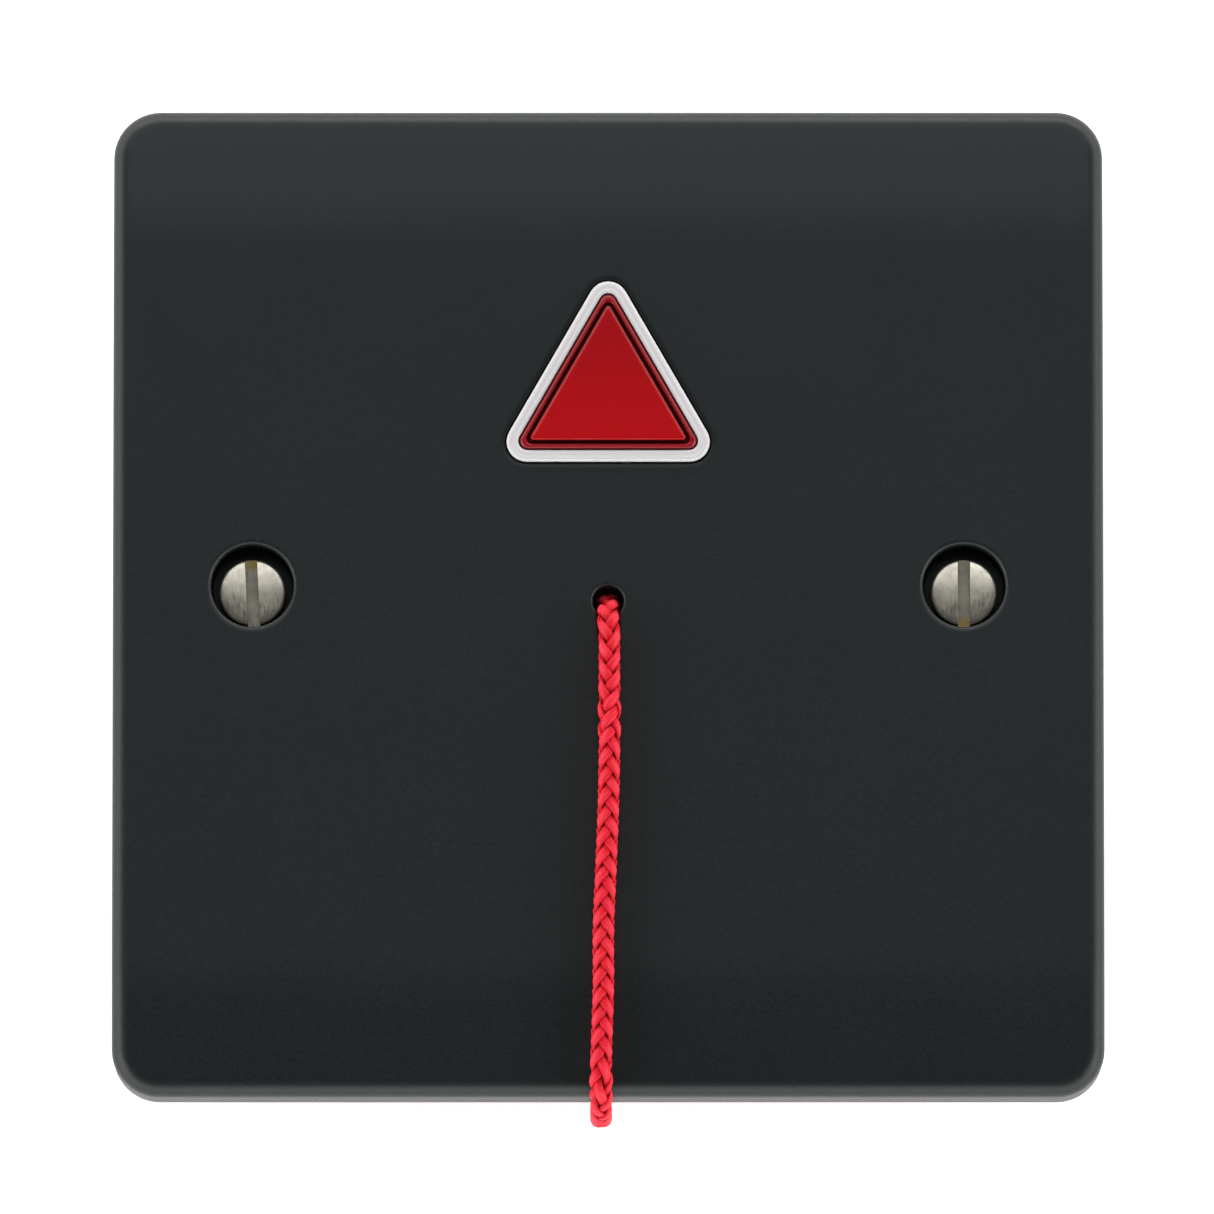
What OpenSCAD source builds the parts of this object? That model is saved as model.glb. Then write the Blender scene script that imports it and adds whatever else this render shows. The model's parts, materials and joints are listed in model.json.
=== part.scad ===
// Pull cord switch: a single-gang wall plate with a triangular reassurance lamp and a braided pull
// cord. It lies on its back: +Z points out of the face, +Y is up when it hangs on a wall, and z = 0
// is the back of the rear cover. The cord lies over the face, round the bottom edge and into a coil
// under the lower overhang of the plate.

/* [Plate] */
// Width and height of the plate
plate_size = 84; // [84:0.5:88]
// Depth of the plate from its rim to its face
plate_depth = 8; // [7.5:0.5:9]
// Radius of the plate's corners, seen from the front
corner_r = 4; // [3:0.5:6]
// Thickness of the plate's side walls
plate_wall = 2; // [1.6:0.1:2.5]
// Thickness of the plate's face
face_t = 2.4; // [2:0.1:2.6]
// Distance of the rim from the back of the rear cover
rim_z = 22; // [22:0.5:26]

/* [Fixing] */
// Distance between the two fixing screws
fixing_centres = 60.3; // [60.3:0.1:60.3]
// Height of the fixing screws above the middle of the plate
fixing_y = 0.8; // [0:0.1:1.5]
// Diameter of a fixing screw's head
head_d = 5.7; // [5.5:0.1:6]
// Length of a fixing screw below its head
fixing_length = 25; // [22:1:25]

/* [Lamp] */
// Width of the white triangular bezel
bezel_w = 17.25; // [17:0.05:18]
// Width of the red lens
lens_w = 15.05; // [14.5:0.05:15.1]
// Height of the triangle's centroid above the middle of the plate
lamp_y = 17.55; // [17:0.05:18]

/* [Cord] */
// Diameter of the cord
cord_d = 2; // [1.8:0.1:2.2]
// Travel of the cord and its slider when it is pulled
pull_travel = 4; // [3:0.5:4]

/* [Hidden] */

$fn = 48;
eps = 0.01;
arc_steps = 6;      // straight steps in a rounded corner of an outline
turn_gap = 0.05;    // radial clearance of a pin or shank in its hole

// Heights
face_z = rim_z + plate_depth;
under_z = face_z - face_t;          // underside of the plate's face
bezel_flange_t = 1.4;
lens_flange_t = 1;
light_box_h = 6.7;
bezel_rise = 0.4;                   // of the bezel over the face
lens_rise = 0.3;                    // of the lens's outer step
lens_face_rise = 0.7;               // of the lens's flat middle
lens_step = 1.1;                    // width of the outer step
board_t = 1.6;
board_top = under_z - bezel_flange_t - lens_flange_t - light_box_h;
board_under = board_top - board_t;

// Plate
camber_r = 50;                      // face curves back on this radius near the top and bottom
camber_y = 32.5;                    // the face is flat up to here
roll_y = 1.7;                       // edge roll at the top and bottom
roll_x = 1.2;                       // edge roll at the sides
half = plate_size / 2;
rib_t = 1.2;
rib_h = 2.4;

// Fixing screws
recess_r = 3.5;
recess_chamfer = 0.4;
seat_z = face_z - 3.2;              // under the screws' heads
boss_z = seat_z - 2.2;              // bottom of the bosses round the fixing screws
boss_r = 5.2;
shank_r = 1.75;                     // over the thread
neck_r = 1.6;                       // plain length under the head
neck_length = 3.8;
head_h = 2.4;
slot_w = 1.05;
retainer_r = 4;
retainer_t = 1;
retainer_gap = 0.2;                 // between a retainer and its boss

// Pull mechanism, round the cord's axis at x = y = 0
cord_r = cord_d / 2;
cord_hole_r = 1.3;
groove_r = 1.2;                     // smooth groove that the cord follows out of its hole
bend_r = 4;                         // the cord's bend out of the hole
socket_wall = 1.4;                  // of the ring round the cord guide
socket_h = 2;
guide_flange_r = 5;
guide_flange_t = 1.6;
guide_collar_r = 2.4;
guide_collar_h = 1.4;
guide_bore_r = 1.4;
spring_top = under_z - guide_flange_t;
spring_length = 10;
spring_r = 3.2;                     // to the middle of the wire
spring_wire_r = 0.3;
spring_turns = 6;
slider_top = spring_top - spring_length;
slider_r = 4.12;
slider_clearance = 0.08;
pocket_r = 2.9;
pocket_roof = slider_top - 2.6;
foot_reach = 8.4;
foot_t = 1.6;
foot_w = 4;
knot_r = 2.35;

// Snap switch under the board, worked by the slider's foot
switch_w = 5.8;
switch_y = [9, 21.8];
switch_h = 6.5;
switch_cover_t = 1;
switch_under = board_under - switch_h;
hinge_y = 20.4;
hinge_z = switch_under - 1;
pin_r = 0.4;
ear_r = 1;
lever_length = 14;
lever_t = 0.4;
lever_w = 3.4;
lever_angle = asin(pull_travel / lever_length);
lever_gap = 0.15;                   // between the lever and what pushes it
plunger_y = 17;
plunger_r = 0.8;
plunger_length = 3.65;
plunger_under = hinge_z - (hinge_y - plunger_y - plunger_r) * tan(lever_angle) + lever_t / 2
    + lever_gap;
foot_top = hinge_z - pull_travel - lever_t / 2 - lever_gap;
slider_under = foot_top - foot_t;

// Rear cover
cover_x = 24;
cover_y = [-8, 35];
cover_wall = 1.6;
cover_floor = 1.8;
cover_top = under_z - 0.2;
cover_r = 2;
guide_tube_r = 5.6;
guide_tube_top = 11;
ear_sites = [for (x = [-27, 27], y = [10.5, 29]) [x, y]];
ear_z = rim_z - 3;
ear_t = 2;
ear_reach = 3;                      // from the screw's axis to the ear's end
ear_half = 3.5;                     // half the width of an ear
cover_screw_r = 1.45;
cover_head_r = 2.6;
cover_head_h = 2;
cover_screw_length = 7;
cover_slot_w = 0.7;
cover_pillar_r = 2.6;
window_x = 11.2;

// Circuit board and what stands on it
board_x = 20;
board_y = [8, 33];
board_screw_sites = [[-17, 11], [17, 11]];
board_screw_r = 1.1;
board_head_r = 2;
board_head_h = 1.5;
board_screw_length = 7;
board_slot_w = 0.6;
board_pillar_r = 2.4;
led_sites = [[-4, 15.15, 90], [4, 15.15, 90], [0, 22.75, 0]];
led_pitch = 1.27;                   // half the distance between the two leads
led_r = 1.5;
led_rim_r = 1.9;
led_rim_t = 1;
led_h = 3.8;                        // up to the start of its dome
axial_y = 18.9;
axial_pitch = 5.08;                 // half the distance between an axial part's two holes
resistor_x = [-9.9, -13.2, -16.5];
diode_x = [9.9, 12.9];
resistor_r = 1.15;
resistor_length = 6.3;
diode_r = 1.3;
diode_length = 5.2;
axial_z = board_under - 1.4;
capacitor_site = [16.6, 25.5];
capacitor_r = 3.15;
capacitor_h = 11;
capacitor_pitch = 1.25;
lead_r = 0.3;
lead_hole_r = 0.45;
lead_out = 0.8;                     // length of a lead past the far side of the board

// Terminal block
pole_pitch = 5.08;
pole_x = [for (i = [-1.5:1:1.5]) i * pole_pitch];
block_x = 10.5;
block_y = [24.9, 33];
block_under = board_under - 10.7;
cage_y = [25.6, 30];
cage_w = 3.8;
cage_z = [block_under + 2.9, board_under - 2];
cage_wall = 0.9;
pole_screw_y = 27.8;
pole_screw_r = 1.2;
pole_head_r = 1.8;
pole_head_h = 1.6;
pole_screw_length = 1.9;
pole_slot_w = 0.6;
pole_pin_y = 29.2;
pole_pin_r = 0.45;
wire_entry_r = 1.5;
wire_z = board_under - 4.6;

// Coil, held by its tie under the lower overhang
coil_centre = [13.2, -24.5];
coil_in = 9;
coil_out = 15;
coil_z = [0.6, 12.6];
tie_t = 0.6;
tie_w = 4;

// Cord pull, lying on its side
pull_neck = [-13, -28];
pull_length = 24;
pull_neck_r = 2.8;
pull_skirt_r = 7;
pull_skirt_start = 22;              // along the pull's axis, where it is widest
pull_lip = 0.6;                     // chamfer of its open end
pull_recess_r = 3.4;
pull_recess = 6;
pull_tilt = atan((pull_skirt_r - pull_neck_r) / pull_skirt_start);
end_knot_r = 2.5;
end_knot_z = pull_length - 3.4;

// Route of the cord outside the plate: out of its hole, down the face, round the bottom edge
cord_route = [
    [0, 0, 27.6], [0, -0.25, 28.4], [0, -0.8, 29.4], [0, -1.7, 30.3], [0.1, -2.9, 30.85],
    [0.1, -4.5, 31.02], [0.1, -8, 31.02], [0.1, -13, 31.02], [0, -18, 31.02], [-0.2, -23, 31.02],
    [-0.4, -28, 31.02], [-0.4, -32.5, 31.02], [-0.5, -36, 31.02], [-0.6, -39.15, 31.02],
    [-0.6, -40.7, 30.7], [-0.6, -42, 29.85], [-0.6, -42.85, 28.55], [-0.6, -43.15, 27],
    [-0.6, -43.15, 23.5], [-0.6, -43.1, 20.7], [-0.6, -42.8, 19.2], [-0.6, -41.95, 17.9],
    [-0.6, -40.6, 17], [-0.6, -39.1, 16.7], [-0.7, -37, 16.1], [-0.8, -33.5, 14.6], [-0.8, -30, 12.9],
    [-0.8, -27, 12], [-0.8, -24.5, 11.6]
];
// Route of the cord's last stretch: off the bottom of the coil to the neck of the cord pull
tail_route = [
    [13.2, -38.5, 1.6], [10, -38.5, 1.5], [6, -38.2, 1.3], [2, -37.4, 1.1], [-1.5, -35.8, 1.1],
    [-4.2, -33.5, 1.2], [-6.6, -31, 1.5], [-9.3, -29, 2], [-12, -28.1, 2.6], [-13, -28, 2.75]
];

// ---- outlines and sweeps ----

// Corners of radius r round a list of centres, counterclockwise. first is the angle at which the
// first corner's arc starts.
function round_outline(centres, r, first) =
    let (n = len(centres), turn = 360 / n)
    [for (k = [0:n - 1], i = [0:arc_steps])
        let (a = first + turn * (k + i / arc_steps))
        centres[k] + r * [cos(a), sin(a)]];

// A rectangle from its low corner to its high corner
module round_rect(low, high, r) {
    a = low + [r, r];
    b = high - [r, r];
    polygon(round_outline([b, [a.x, b.y], a, [b.x, a.y]], r, 0));
}

// An equilateral triangle of width w that points up, with its centroid at the lamp's centre
module round_triangle(w, r) {
    side = w - 2 * r;
    low = -side / (2 * sqrt(3));
    translate([0, lamp_y])
        polygon(round_outline([[side / 2, low], [0, side / sqrt(3)], [-side / 2, low]], r, -90));
}

function unit(v) = v / norm(v);

// One ring of a tube about point p with direction t. across is a direction that t never follows.
function ring(p, t, across, r, sides) =
    let (u = unit(cross(across, t)), v = cross(t, u))
    [for (k = [0:sides - 1]) p + r * (cos(360 * k / sides) * u + sin(360 * k / sides) * v)];

// A tube of radius r along a list of points
module tube(path, r, sides, across) {
    last = len(path) - 1;
    points = [for (i = [0:last])
        each ring(path[i], unit(path[min(i + 1, last)] - path[max(i - 1, 0)]), across, r, sides)];
    walls = [for (i = [0:last - 1], k = [0:sides - 1])
        let (a = i * sides + k, b = i * sides + (k + 1) % sides)
        [a, a + sides, b + sides, b]];
    ends = [[for (k = [0:sides - 1]) k], [for (k = [sides - 1:-1:0]) last * sides + k]];
    polyhedron(points, concat(walls, ends));
}

module at_sites(sites, z) {
    for (p = sites) translate([p.x, p.y, z]) children();
}

module cyl(r, z0, z1) {
    translate([0, 0, z0]) cylinder(r = r, h = z1 - z0);
}

module block(low, high) {
    translate(low) cube(high - low);
}

// ---- plate ----

// Half of the plate's section from the rim up the side, over the roll to the flat face
function section(roll, flat, camber) =
    let (lean = camber ? asin((half - roll - flat) / (camber_r - roll)) : 0,
         roll_z = camber ? face_z - camber_r + (camber_r - roll) * cos(lean) : face_z - roll,
         roll_arc = [for (i = [0:arc_steps]) let (a = (90 - lean) * i / arc_steps)
             [half - roll + roll * cos(a), roll_z + roll * sin(a)]],
         face_arc = camber ? [for (i = [1:arc_steps]) let (a = lean * (1 - i / arc_steps))
             [flat + camber_r * sin(a), face_z - camber_r + camber_r * cos(a)]] : [])
    concat([[half, rim_z]], roll_arc, face_arc);

module section_shape(roll, flat, camber) {
    right = section(roll, flat, camber);
    left = [for (i = [len(right) - 1:-1:0]) [-right[i].x, right[i].y]];
    polygon(concat(right, left));
}

module plate_blank() {
    intersection() {
        translate([0, 0, rim_z])
            linear_extrude(plate_depth) round_rect([-half, -half], [half, half], corner_r);
        rotate([90, 0, 90]) linear_extrude(2 * plate_size, center = true)
            section_shape(roll_y, camber_y, true);
        rotate([90, 0, 0]) linear_extrude(2 * plate_size, center = true)
            section_shape(roll_x, half - roll_x, false);
    }
}

module at_fixings() {
    for (side = [-1, 1]) translate([side * fixing_centres / 2, fixing_y, 0]) children();
}

module plate_pillars() {
    at_fixings() cyl(boss_r, boss_z, under_z + eps);
    at_sites(ear_sites, 0) cyl(cover_pillar_r, ear_z + ear_t, under_z + eps);
    at_sites(board_screw_sites, 0) cyl(board_pillar_r, board_top, under_z + eps);
    cyl(guide_flange_r + socket_wall, under_z - socket_h, under_z + eps);
    inner = half - plate_wall - eps;
    for (y = [-33, -20]) block([-inner, y, under_z - rib_h], [inner, y + rib_t, under_z + eps]);
    for (x = [-33, 33 - rib_t]) block([x, -inner, under_z - rib_h], [x + rib_t, -10, under_z + eps]);
}

module front_plate() {
    cavity = half - plate_wall;
    color("#2b2f30") difference() {
        union() {
            difference() {
                plate_blank();
                translate([0, 0, rim_z - 1]) linear_extrude(under_z - rim_z + 1)
                    round_rect([-cavity, -cavity], [cavity, cavity], corner_r - plate_wall + 0.2);
            }
            plate_pillars();
        }
        // lamp opening
        translate([0, 0, under_z - 1]) linear_extrude(face_t + 2) round_triangle(bezel_w + 0.2, 1.8);
        // cord hole, with the groove that leads the cord down the face
        cyl(cord_hole_r, under_z - 3, face_z + 1);
        translate([0, -bend_r, face_z + cord_r - bend_r]) rotate([90, 0, 90])
            rotate_extrude(angle = 90) translate([bend_r, 0]) circle(r = groove_r);
        // socket of the cord guide
        cyl(guide_flange_r + turn_gap, under_z - 3, under_z);
        // recesses and holes of the fixing screws
        at_fixings() {
            cyl(recess_r, seat_z, face_z + 1);
            translate([0, 0, face_z - recess_chamfer])
                cylinder(r1 = recess_r, r2 = recess_r + 2 * recess_chamfer, h = 2 * recess_chamfer);
            cyl(shank_r + 0.15, boss_z - 1, face_z);
        }
        at_sites(ear_sites, 0) cyl(cover_screw_r + turn_gap, ear_z, under_z - 0.6);
        at_sites(board_screw_sites, 0) cyl(board_screw_r + turn_gap, board_top - 1, under_z - 1);
    }
}

module cord_guide() {
    color("#e8e6df") difference() {
        union() {
            cyl(guide_flange_r, spring_top, under_z);
            cyl(guide_collar_r, spring_top - guide_collar_h, spring_top + eps);
        }
        cyl(guide_bore_r, spring_top - guide_collar_h - 1, under_z + 1);
    }
}

// ---- fasteners ----

// A screw pointing down from under its head at z: head up, or down when flipped
module screw(head_radius, head_height, radius, length, slot) {
    difference() {
        union() {
            cyl(head_radius, 0, head_height);
            cyl(radius, -length, eps);
        }
        translate([-slot / 2, -head_radius - 1, head_height - slot])
            cube([slot, 2 * head_radius + 2, slot + 1]);
    }
}

module fixing_screws() {
    color("#b9b4a6") at_fixings() {
        translate([0, 0, seat_z]) screw(head_d / 2, head_h, neck_r, neck_length + 0.2, slot_w);
        cyl(shank_r, seat_z - fixing_length, seat_z - neck_length);
    }
}

module screw_retainers() {
    color("#d9dcdb") at_fixings() difference() {
        cyl(retainer_r, boss_z - retainer_gap - retainer_t, boss_z - retainer_gap);
        cyl(shank_r + turn_gap, boss_z - 2 * retainer_t, boss_z);
    }
}

module cover_screws() {
    color("#a9abad") at_sites(ear_sites, ear_z) mirror([0, 0, 1])
        screw(cover_head_r, cover_head_h, cover_screw_r, cover_screw_length, cover_slot_w);
}

module board_screws() {
    color("#a9abad") at_sites(board_screw_sites, board_under) mirror([0, 0, 1])
        screw(board_head_r, board_head_h, board_screw_r, board_screw_length, board_slot_w);
}

// ---- lamp ----

module indicator_bezel() {
    color("#f2f2f4") difference() {
        translate([0, 0, under_z - bezel_flange_t]) {
            linear_extrude(face_t + bezel_flange_t + bezel_rise) round_triangle(bezel_w, 1.7);
            linear_extrude(bezel_flange_t) round_triangle(bezel_w + 2.2, 2.4);
        }
        translate([0, 0, under_z - 5]) linear_extrude(10) round_triangle(lens_w + 0.1, 0.75);
    }
}

module indicator_lens() {
    flange_z = under_z - bezel_flange_t - lens_flange_t;
    color("#c01216", 0.85) {
        translate([0, 0, flange_z]) linear_extrude(lens_flange_t) round_triangle(lens_w + 2, 1.4);
        translate([0, 0, flange_z]) linear_extrude(face_z - flange_z + lens_rise)
            round_triangle(lens_w, 0.7);
        translate([0, 0, flange_z]) linear_extrude(face_z - flange_z + lens_face_rise)
            round_triangle(lens_w - 2 * lens_step, 0.3);
    }
}

module light_box() {
    color("#f0efe9") translate([0, 0, board_top]) linear_extrude(light_box_h) difference() {
        round_triangle(bezel_w + 1.6, 2);
        round_triangle(lens_w - 0.4, 0.7);
    }
}

module leds() {
    color("#d8403a") at_sites(led_sites, board_top) {
        cyl(led_rim_r, 0, led_rim_t);
        cyl(led_r, 0, led_h);
        translate([0, 0, led_h]) sphere(r = led_r);
    }
}

// ---- circuit board ----

// Places where a lead goes through the board
lead_sites = concat(
    [for (s = led_sites, side = [-1, 1]) [s.x, s.y] + side * led_pitch * [cos(s[2]), sin(s[2])]],
    [for (x = concat(resistor_x, diode_x), side = [-1, 1]) [x, axial_y + side * axial_pitch]],
    [for (side = [-1, 1]) capacitor_site + [side * capacitor_pitch, 0]]);
switch_pin_sites = [for (y = [9.6, 14.6, 19.6]) [0, y]];
pole_pin_sites = [for (x = pole_x) [x, pole_pin_y]];

module circuit_board() {
    color("#2f6b3c") difference() {
        translate([0, 0, board_under]) linear_extrude(board_t)
            round_rect([-board_x, board_y[0]], [board_x, board_y[1]], 1);
        at_sites(lead_sites, 0) cyl(lead_hole_r, board_under - 1, board_top + 1);
        at_sites(concat(switch_pin_sites, pole_pin_sites), 0)
            cyl(pole_pin_r + 0.1, board_under - 1, board_top + 1);
        at_sites(board_screw_sites, 0) cyl(board_screw_r + 0.2, board_under - 1, board_top + 1);
    }
}

// The body of an axial part, lying along Y under the board
module axial_body(x, r, length) {
    translate([x, axial_y, axial_z]) rotate([90, 0, 0]) cylinder(r = r, h = length, center = true);
}

module resistors() {
    color("#cdb58a") for (x = resistor_x) axial_body(x, resistor_r, resistor_length);
}

module diodes() {
    color("#26272a") for (x = diode_x) axial_body(x, diode_r, diode_length);
}

module capacitor() {
    color("#1d2b52") translate([capacitor_site.x, capacitor_site.y, 0])
        cyl(capacitor_r, board_under - capacitor_h, board_under);
}

// A lead from the end of an axial body out to its hole, and up through the board
module axial_lead(x, body_length, side) {
    start = axial_y + side * body_length / 2;
    end = axial_y + side * axial_pitch;
    translate([x, start, axial_z]) rotate([-side * 90, 0, 0])
        cylinder(r = lead_r, h = abs(end - start), $fn = 16);
    translate([x, end, 0]) {
        cyl(lead_r, axial_z, board_top + lead_out, $fn = 16);
        translate([0, 0, axial_z]) sphere(r = lead_r, $fn = 16);
    }
}

module component_leads() {
    color("#c9ccd0") {
        for (side = [-1, 1]) {
            for (x = resistor_x) axial_lead(x, resistor_length, side);
            for (x = diode_x) axial_lead(x, diode_length, side);
            translate([capacitor_site.x + side * capacitor_pitch, capacitor_site.y, 0])
                cyl(lead_r, board_under, board_top + lead_out);
            for (s = led_sites) rotate_about(s) translate([side * led_pitch, 0, 0])
                cyl(lead_r, board_under - lead_out, board_top);
        }
    }
}

module rotate_about(s) {
    translate([s.x, s.y, 0]) rotate([0, 0, s[2]]) children();
}

// ---- terminal block ----

module terminal_block() {
    color("#8f9698") difference() {
        block([-block_x, block_y[0], block_under], [block_x, block_y[1], board_under]);
        for (x = pole_x) {
            gap = 0.1;
            block([x - cage_w / 2 - gap, cage_y[0] - gap, cage_z[0] - gap],
                  [x + cage_w / 2 + gap, cage_y[1] + gap, cage_z[1] + gap]);
            translate([x, pole_screw_y, 0]) cyl(pole_head_r + 0.15, block_under - 1, cage_z[0]);
            translate([x, block_y[1] + 1, wire_z]) rotate([90, 0, 0])
                cylinder(r = wire_entry_r, h = block_y[1] + 1 - cage_y[1]);
            translate([x, pole_pin_y, 0]) cyl(pole_pin_r + turn_gap, cage_z[1], board_under + 1);
        }
    }
}

module terminal_clamps() {
    color("#c8b273") for (x = pole_x) difference() {
        block([x - cage_w / 2, cage_y[0], cage_z[0]], [x + cage_w / 2, cage_y[1], cage_z[1]]);
        block([x - cage_w / 2 + cage_wall / 2, cage_y[0] - 1, cage_z[0] + cage_wall],
              [x + cage_w / 2 - cage_wall / 2, cage_y[1] + 1, cage_z[1] - cage_wall]);
        translate([x, pole_screw_y, 0]) cyl(pole_screw_r + turn_gap, cage_z[0] - 1, cage_z[0] + 1);
    }
}

module terminal_screws() {
    color("#b9bcc0") for (x = pole_x) translate([x, pole_screw_y, cage_z[0] - 0.2]) mirror([0, 0, 1])
        screw(pole_head_r, pole_head_h, pole_screw_r, pole_screw_length, pole_slot_w);
}

module terminal_pins() {
    color("#d0d2d5") for (x = pole_x) translate([x, pole_pin_y, 0])
        cyl(pole_pin_r, cage_z[1], board_top + lead_out);
}

// ---- snap switch ----

// One ear that carries the lever's pin, from x0 to x1
module hinge_ear(x0, x1) {
    difference() {
        union() {
            translate([x0, hinge_y, hinge_z]) rotate([0, 90, 0]) cylinder(r = ear_r, h = x1 - x0);
            block([x0, hinge_y - ear_r, hinge_z], [x1, hinge_y + ear_r, switch_under + eps]);
        }
        translate([x0 - 1, hinge_y, hinge_z]) rotate([0, 90, 0])
            cylinder(r = pin_r + 0.02, h = x1 - x0 + 2);
    }
}

module switch_case() {
    side = switch_w / 2;
    color("#1f2022") difference() {
        union() {
            block([-side, switch_y[0], switch_under], [side - switch_cover_t, switch_y[1], board_under]);
            hinge_ear(-side, -side + 0.8);
        }
        translate([0, plunger_y, 0])
            cyl(plunger_r + turn_gap, switch_under - 1, plunger_under + plunger_length + 1.3);
    }
}

module switch_side_cover() {
    side = switch_w / 2;
    color("#34363a") {
        block([side - switch_cover_t, switch_y[0], switch_under], [side, switch_y[1], board_under]);
        hinge_ear(side - 0.8, side);
    }
}

module switch_pins() {
    color("#d0d2d5") at_sites(switch_pin_sites, 0) cyl(pole_pin_r, board_under, board_top + lead_out);
}

module lever_pin() {
    color("#c4c7ca") translate([0, hinge_y, hinge_z]) rotate([0, 90, 0])
        cylinder(r = pin_r, h = switch_w, center = true);
}

module switch_lever() {
    color("#c4c7ca") translate([0, hinge_y, hinge_z]) rotate([lever_angle, 0, 0]) difference() {
        union() {
            block([-lever_w / 2, -lever_length, -lever_t / 2], [lever_w / 2, 0, lever_t / 2]);
            rotate([0, 90, 0]) cylinder(r = 0.8, h = lever_w, center = true);
        }
        rotate([0, 90, 0]) cylinder(r = pin_r + turn_gap, h = lever_w + 2, center = true);
    }
}

module switch_plunger() {
    color("#b3231f") translate([0, plunger_y, plunger_under]) cylinder(r = plunger_r, h = plunger_length);
}

// ---- pull mechanism ----

module pull_slider() {
    color("#e4e0d4") difference() {
        union() {
            cyl(slider_r, slider_under, slider_top);
            cyl(guide_collar_r, slider_top - eps, slider_top + guide_collar_h);
            block([-foot_w / 2, 0, slider_under], [foot_w / 2, foot_reach, foot_top]);
        }
        cyl(pocket_r, slider_under - 1, pocket_roof);
        cyl(cord_r + 0.25, pocket_roof - 1, slider_top + guide_collar_h + 1);
    }
}

module inner_knot() {
    color("#c8202e") translate([0, 0, pocket_roof - knot_r - 0.05]) sphere(r = knot_r);
}

module return_spring() {
    steps = 12;
    rise = spring_length - 2 * spring_wire_r;
    helix = [for (i = [0:spring_turns * steps])
        let (a = 360 * i / steps)
        [spring_r * cos(a), spring_r * sin(a),
         slider_top + spring_wire_r + rise * i / (spring_turns * steps)]];
    color("#b8bcc0") tube(helix, spring_wire_r - eps, 8, [0, 0, 1]);
}

module rear_cover() {
    slot_half = foot_w / 2 + 0.6;
    color("#e9e8e3") difference() {
        union() {
            difference() {
                linear_extrude(cover_top)
                    round_rect([-cover_x, cover_y[0]], [cover_x, cover_y[1]], cover_r);
                translate([0, 0, cover_floor]) linear_extrude(cover_top)
                    round_rect([-cover_x + cover_wall, cover_y[0] + cover_wall],
                               [cover_x - cover_wall, cover_y[1] - cover_wall], cover_r - 1);
            }
            cyl(guide_tube_r, cover_floor - eps, guide_tube_top);
            for (s = ear_sites)
                let (in_x = sign(s.x) * (cover_x - 1), out_x = s.x + sign(s.x) * ear_reach)
                block([min(in_x, out_x), s.y - ear_half, ear_z],
                      [max(in_x, out_x), s.y + ear_half, ear_z + ear_t]);
        }
        difference() {
            cyl(slider_r + slider_clearance, cover_floor, guide_tube_top + 1);
            difference() {
                cyl(slider_r + 1, cover_floor - 1, slider_under - 0.1);
                cyl(pocket_r, cover_floor - 2, slider_under);
            }
        }
        block([-slot_half, 0, slider_under - 0.2], [slot_half, guide_tube_r + 1, guide_tube_top + 1]);
        at_sites(ear_sites, 0) cyl(cover_screw_r + 0.15, ear_z - 1, ear_z + ear_t + 1);
        // window behind the terminals and above them, for the cables and a screwdriver
        block([-window_x, block_y[0] - 0.8, -1], [window_x, cover_y[1] + 1, cover_floor + eps]);
        block([-window_x, cover_y[1] - cover_wall - eps, -1], [window_x, cover_y[1] + 1, board_under]);
    }
}

// ---- cord ----

module cord_core() {
    color("#c8202e") cyl(cord_r, pocket_roof, under_z);
}

module pull_cord() {
    color("#dc2434") tube(cord_route, cord_r, 8, [1, 0, 0]);
}

module cord_coil() {
    color("#dc2434") translate([coil_centre.x, coil_centre.y, 0])
        rotate_extrude() round_rect([coil_in, coil_z[0]], [coil_out, coil_z[1]], cord_r);
}

module coil_tie() {
    color("#ececec") translate([coil_centre.x, coil_centre.y + tie_w / 2, 0]) rotate([90, 0, 0])
        linear_extrude(tie_w) difference() {
            round_rect([coil_in - tie_t, coil_z[0] - tie_t], [coil_out + tie_t, coil_z[1] + tie_t], 1.2);
            round_rect([coil_in, coil_z[0]], [coil_out, coil_z[1]], 0.8);
        }
}

module cord_tail() {
    color("#dc2434") tube(tail_route, cord_r, 8, [0, 0, 1]);
}

// Places a piece on the cord pull's axis: its local +Z runs from the neck to the skirt
module on_pull_axis() {
    translate([pull_neck.x, pull_neck.y, pull_neck_r * cos(pull_tilt)])
        rotate([0, -90 + pull_tilt, 0]) children();
}

module cord_pull() {
    profile = [[0, 0], [pull_neck_r, 0], [pull_neck_r + 0.2, 3], [3.8, 8], [4.9, 13], [6.1, 18],
               [pull_skirt_r, pull_skirt_start], [pull_skirt_r, pull_length - pull_lip],
               [pull_skirt_r - pull_lip, pull_length], [0, pull_length]];
    color("#b5161f") on_pull_axis() difference() {
        rotate_extrude() polygon(profile);
        cyl(cord_r + 0.3, -1, pull_length);
        cyl(pull_recess_r, pull_length - pull_recess, pull_length + 1);
    }
}

module end_knot() {
    color("#dc2434") on_pull_axis() {
        translate([0, 0, end_knot_z]) sphere(r = end_knot_r);
        cyl(cord_r, eps, end_knot_z);
    }
}

front_plate();
cord_guide();
fixing_screws();
screw_retainers();
indicator_bezel();
indicator_lens();
light_box();
leds();
circuit_board();
board_screws();
resistors();
diodes();
capacitor();
component_leads();
terminal_block();
terminal_clamps();
terminal_screws();
terminal_pins();
switch_case();
switch_side_cover();
switch_pins();
lever_pin();
switch_lever();
switch_plunger();
pull_slider();
inner_knot();
return_spring();
rear_cover();
cover_screws();
cord_core();
pull_cord();
cord_coil();
coil_tie();
cord_tail();
cord_pull();
end_knot();
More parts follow.
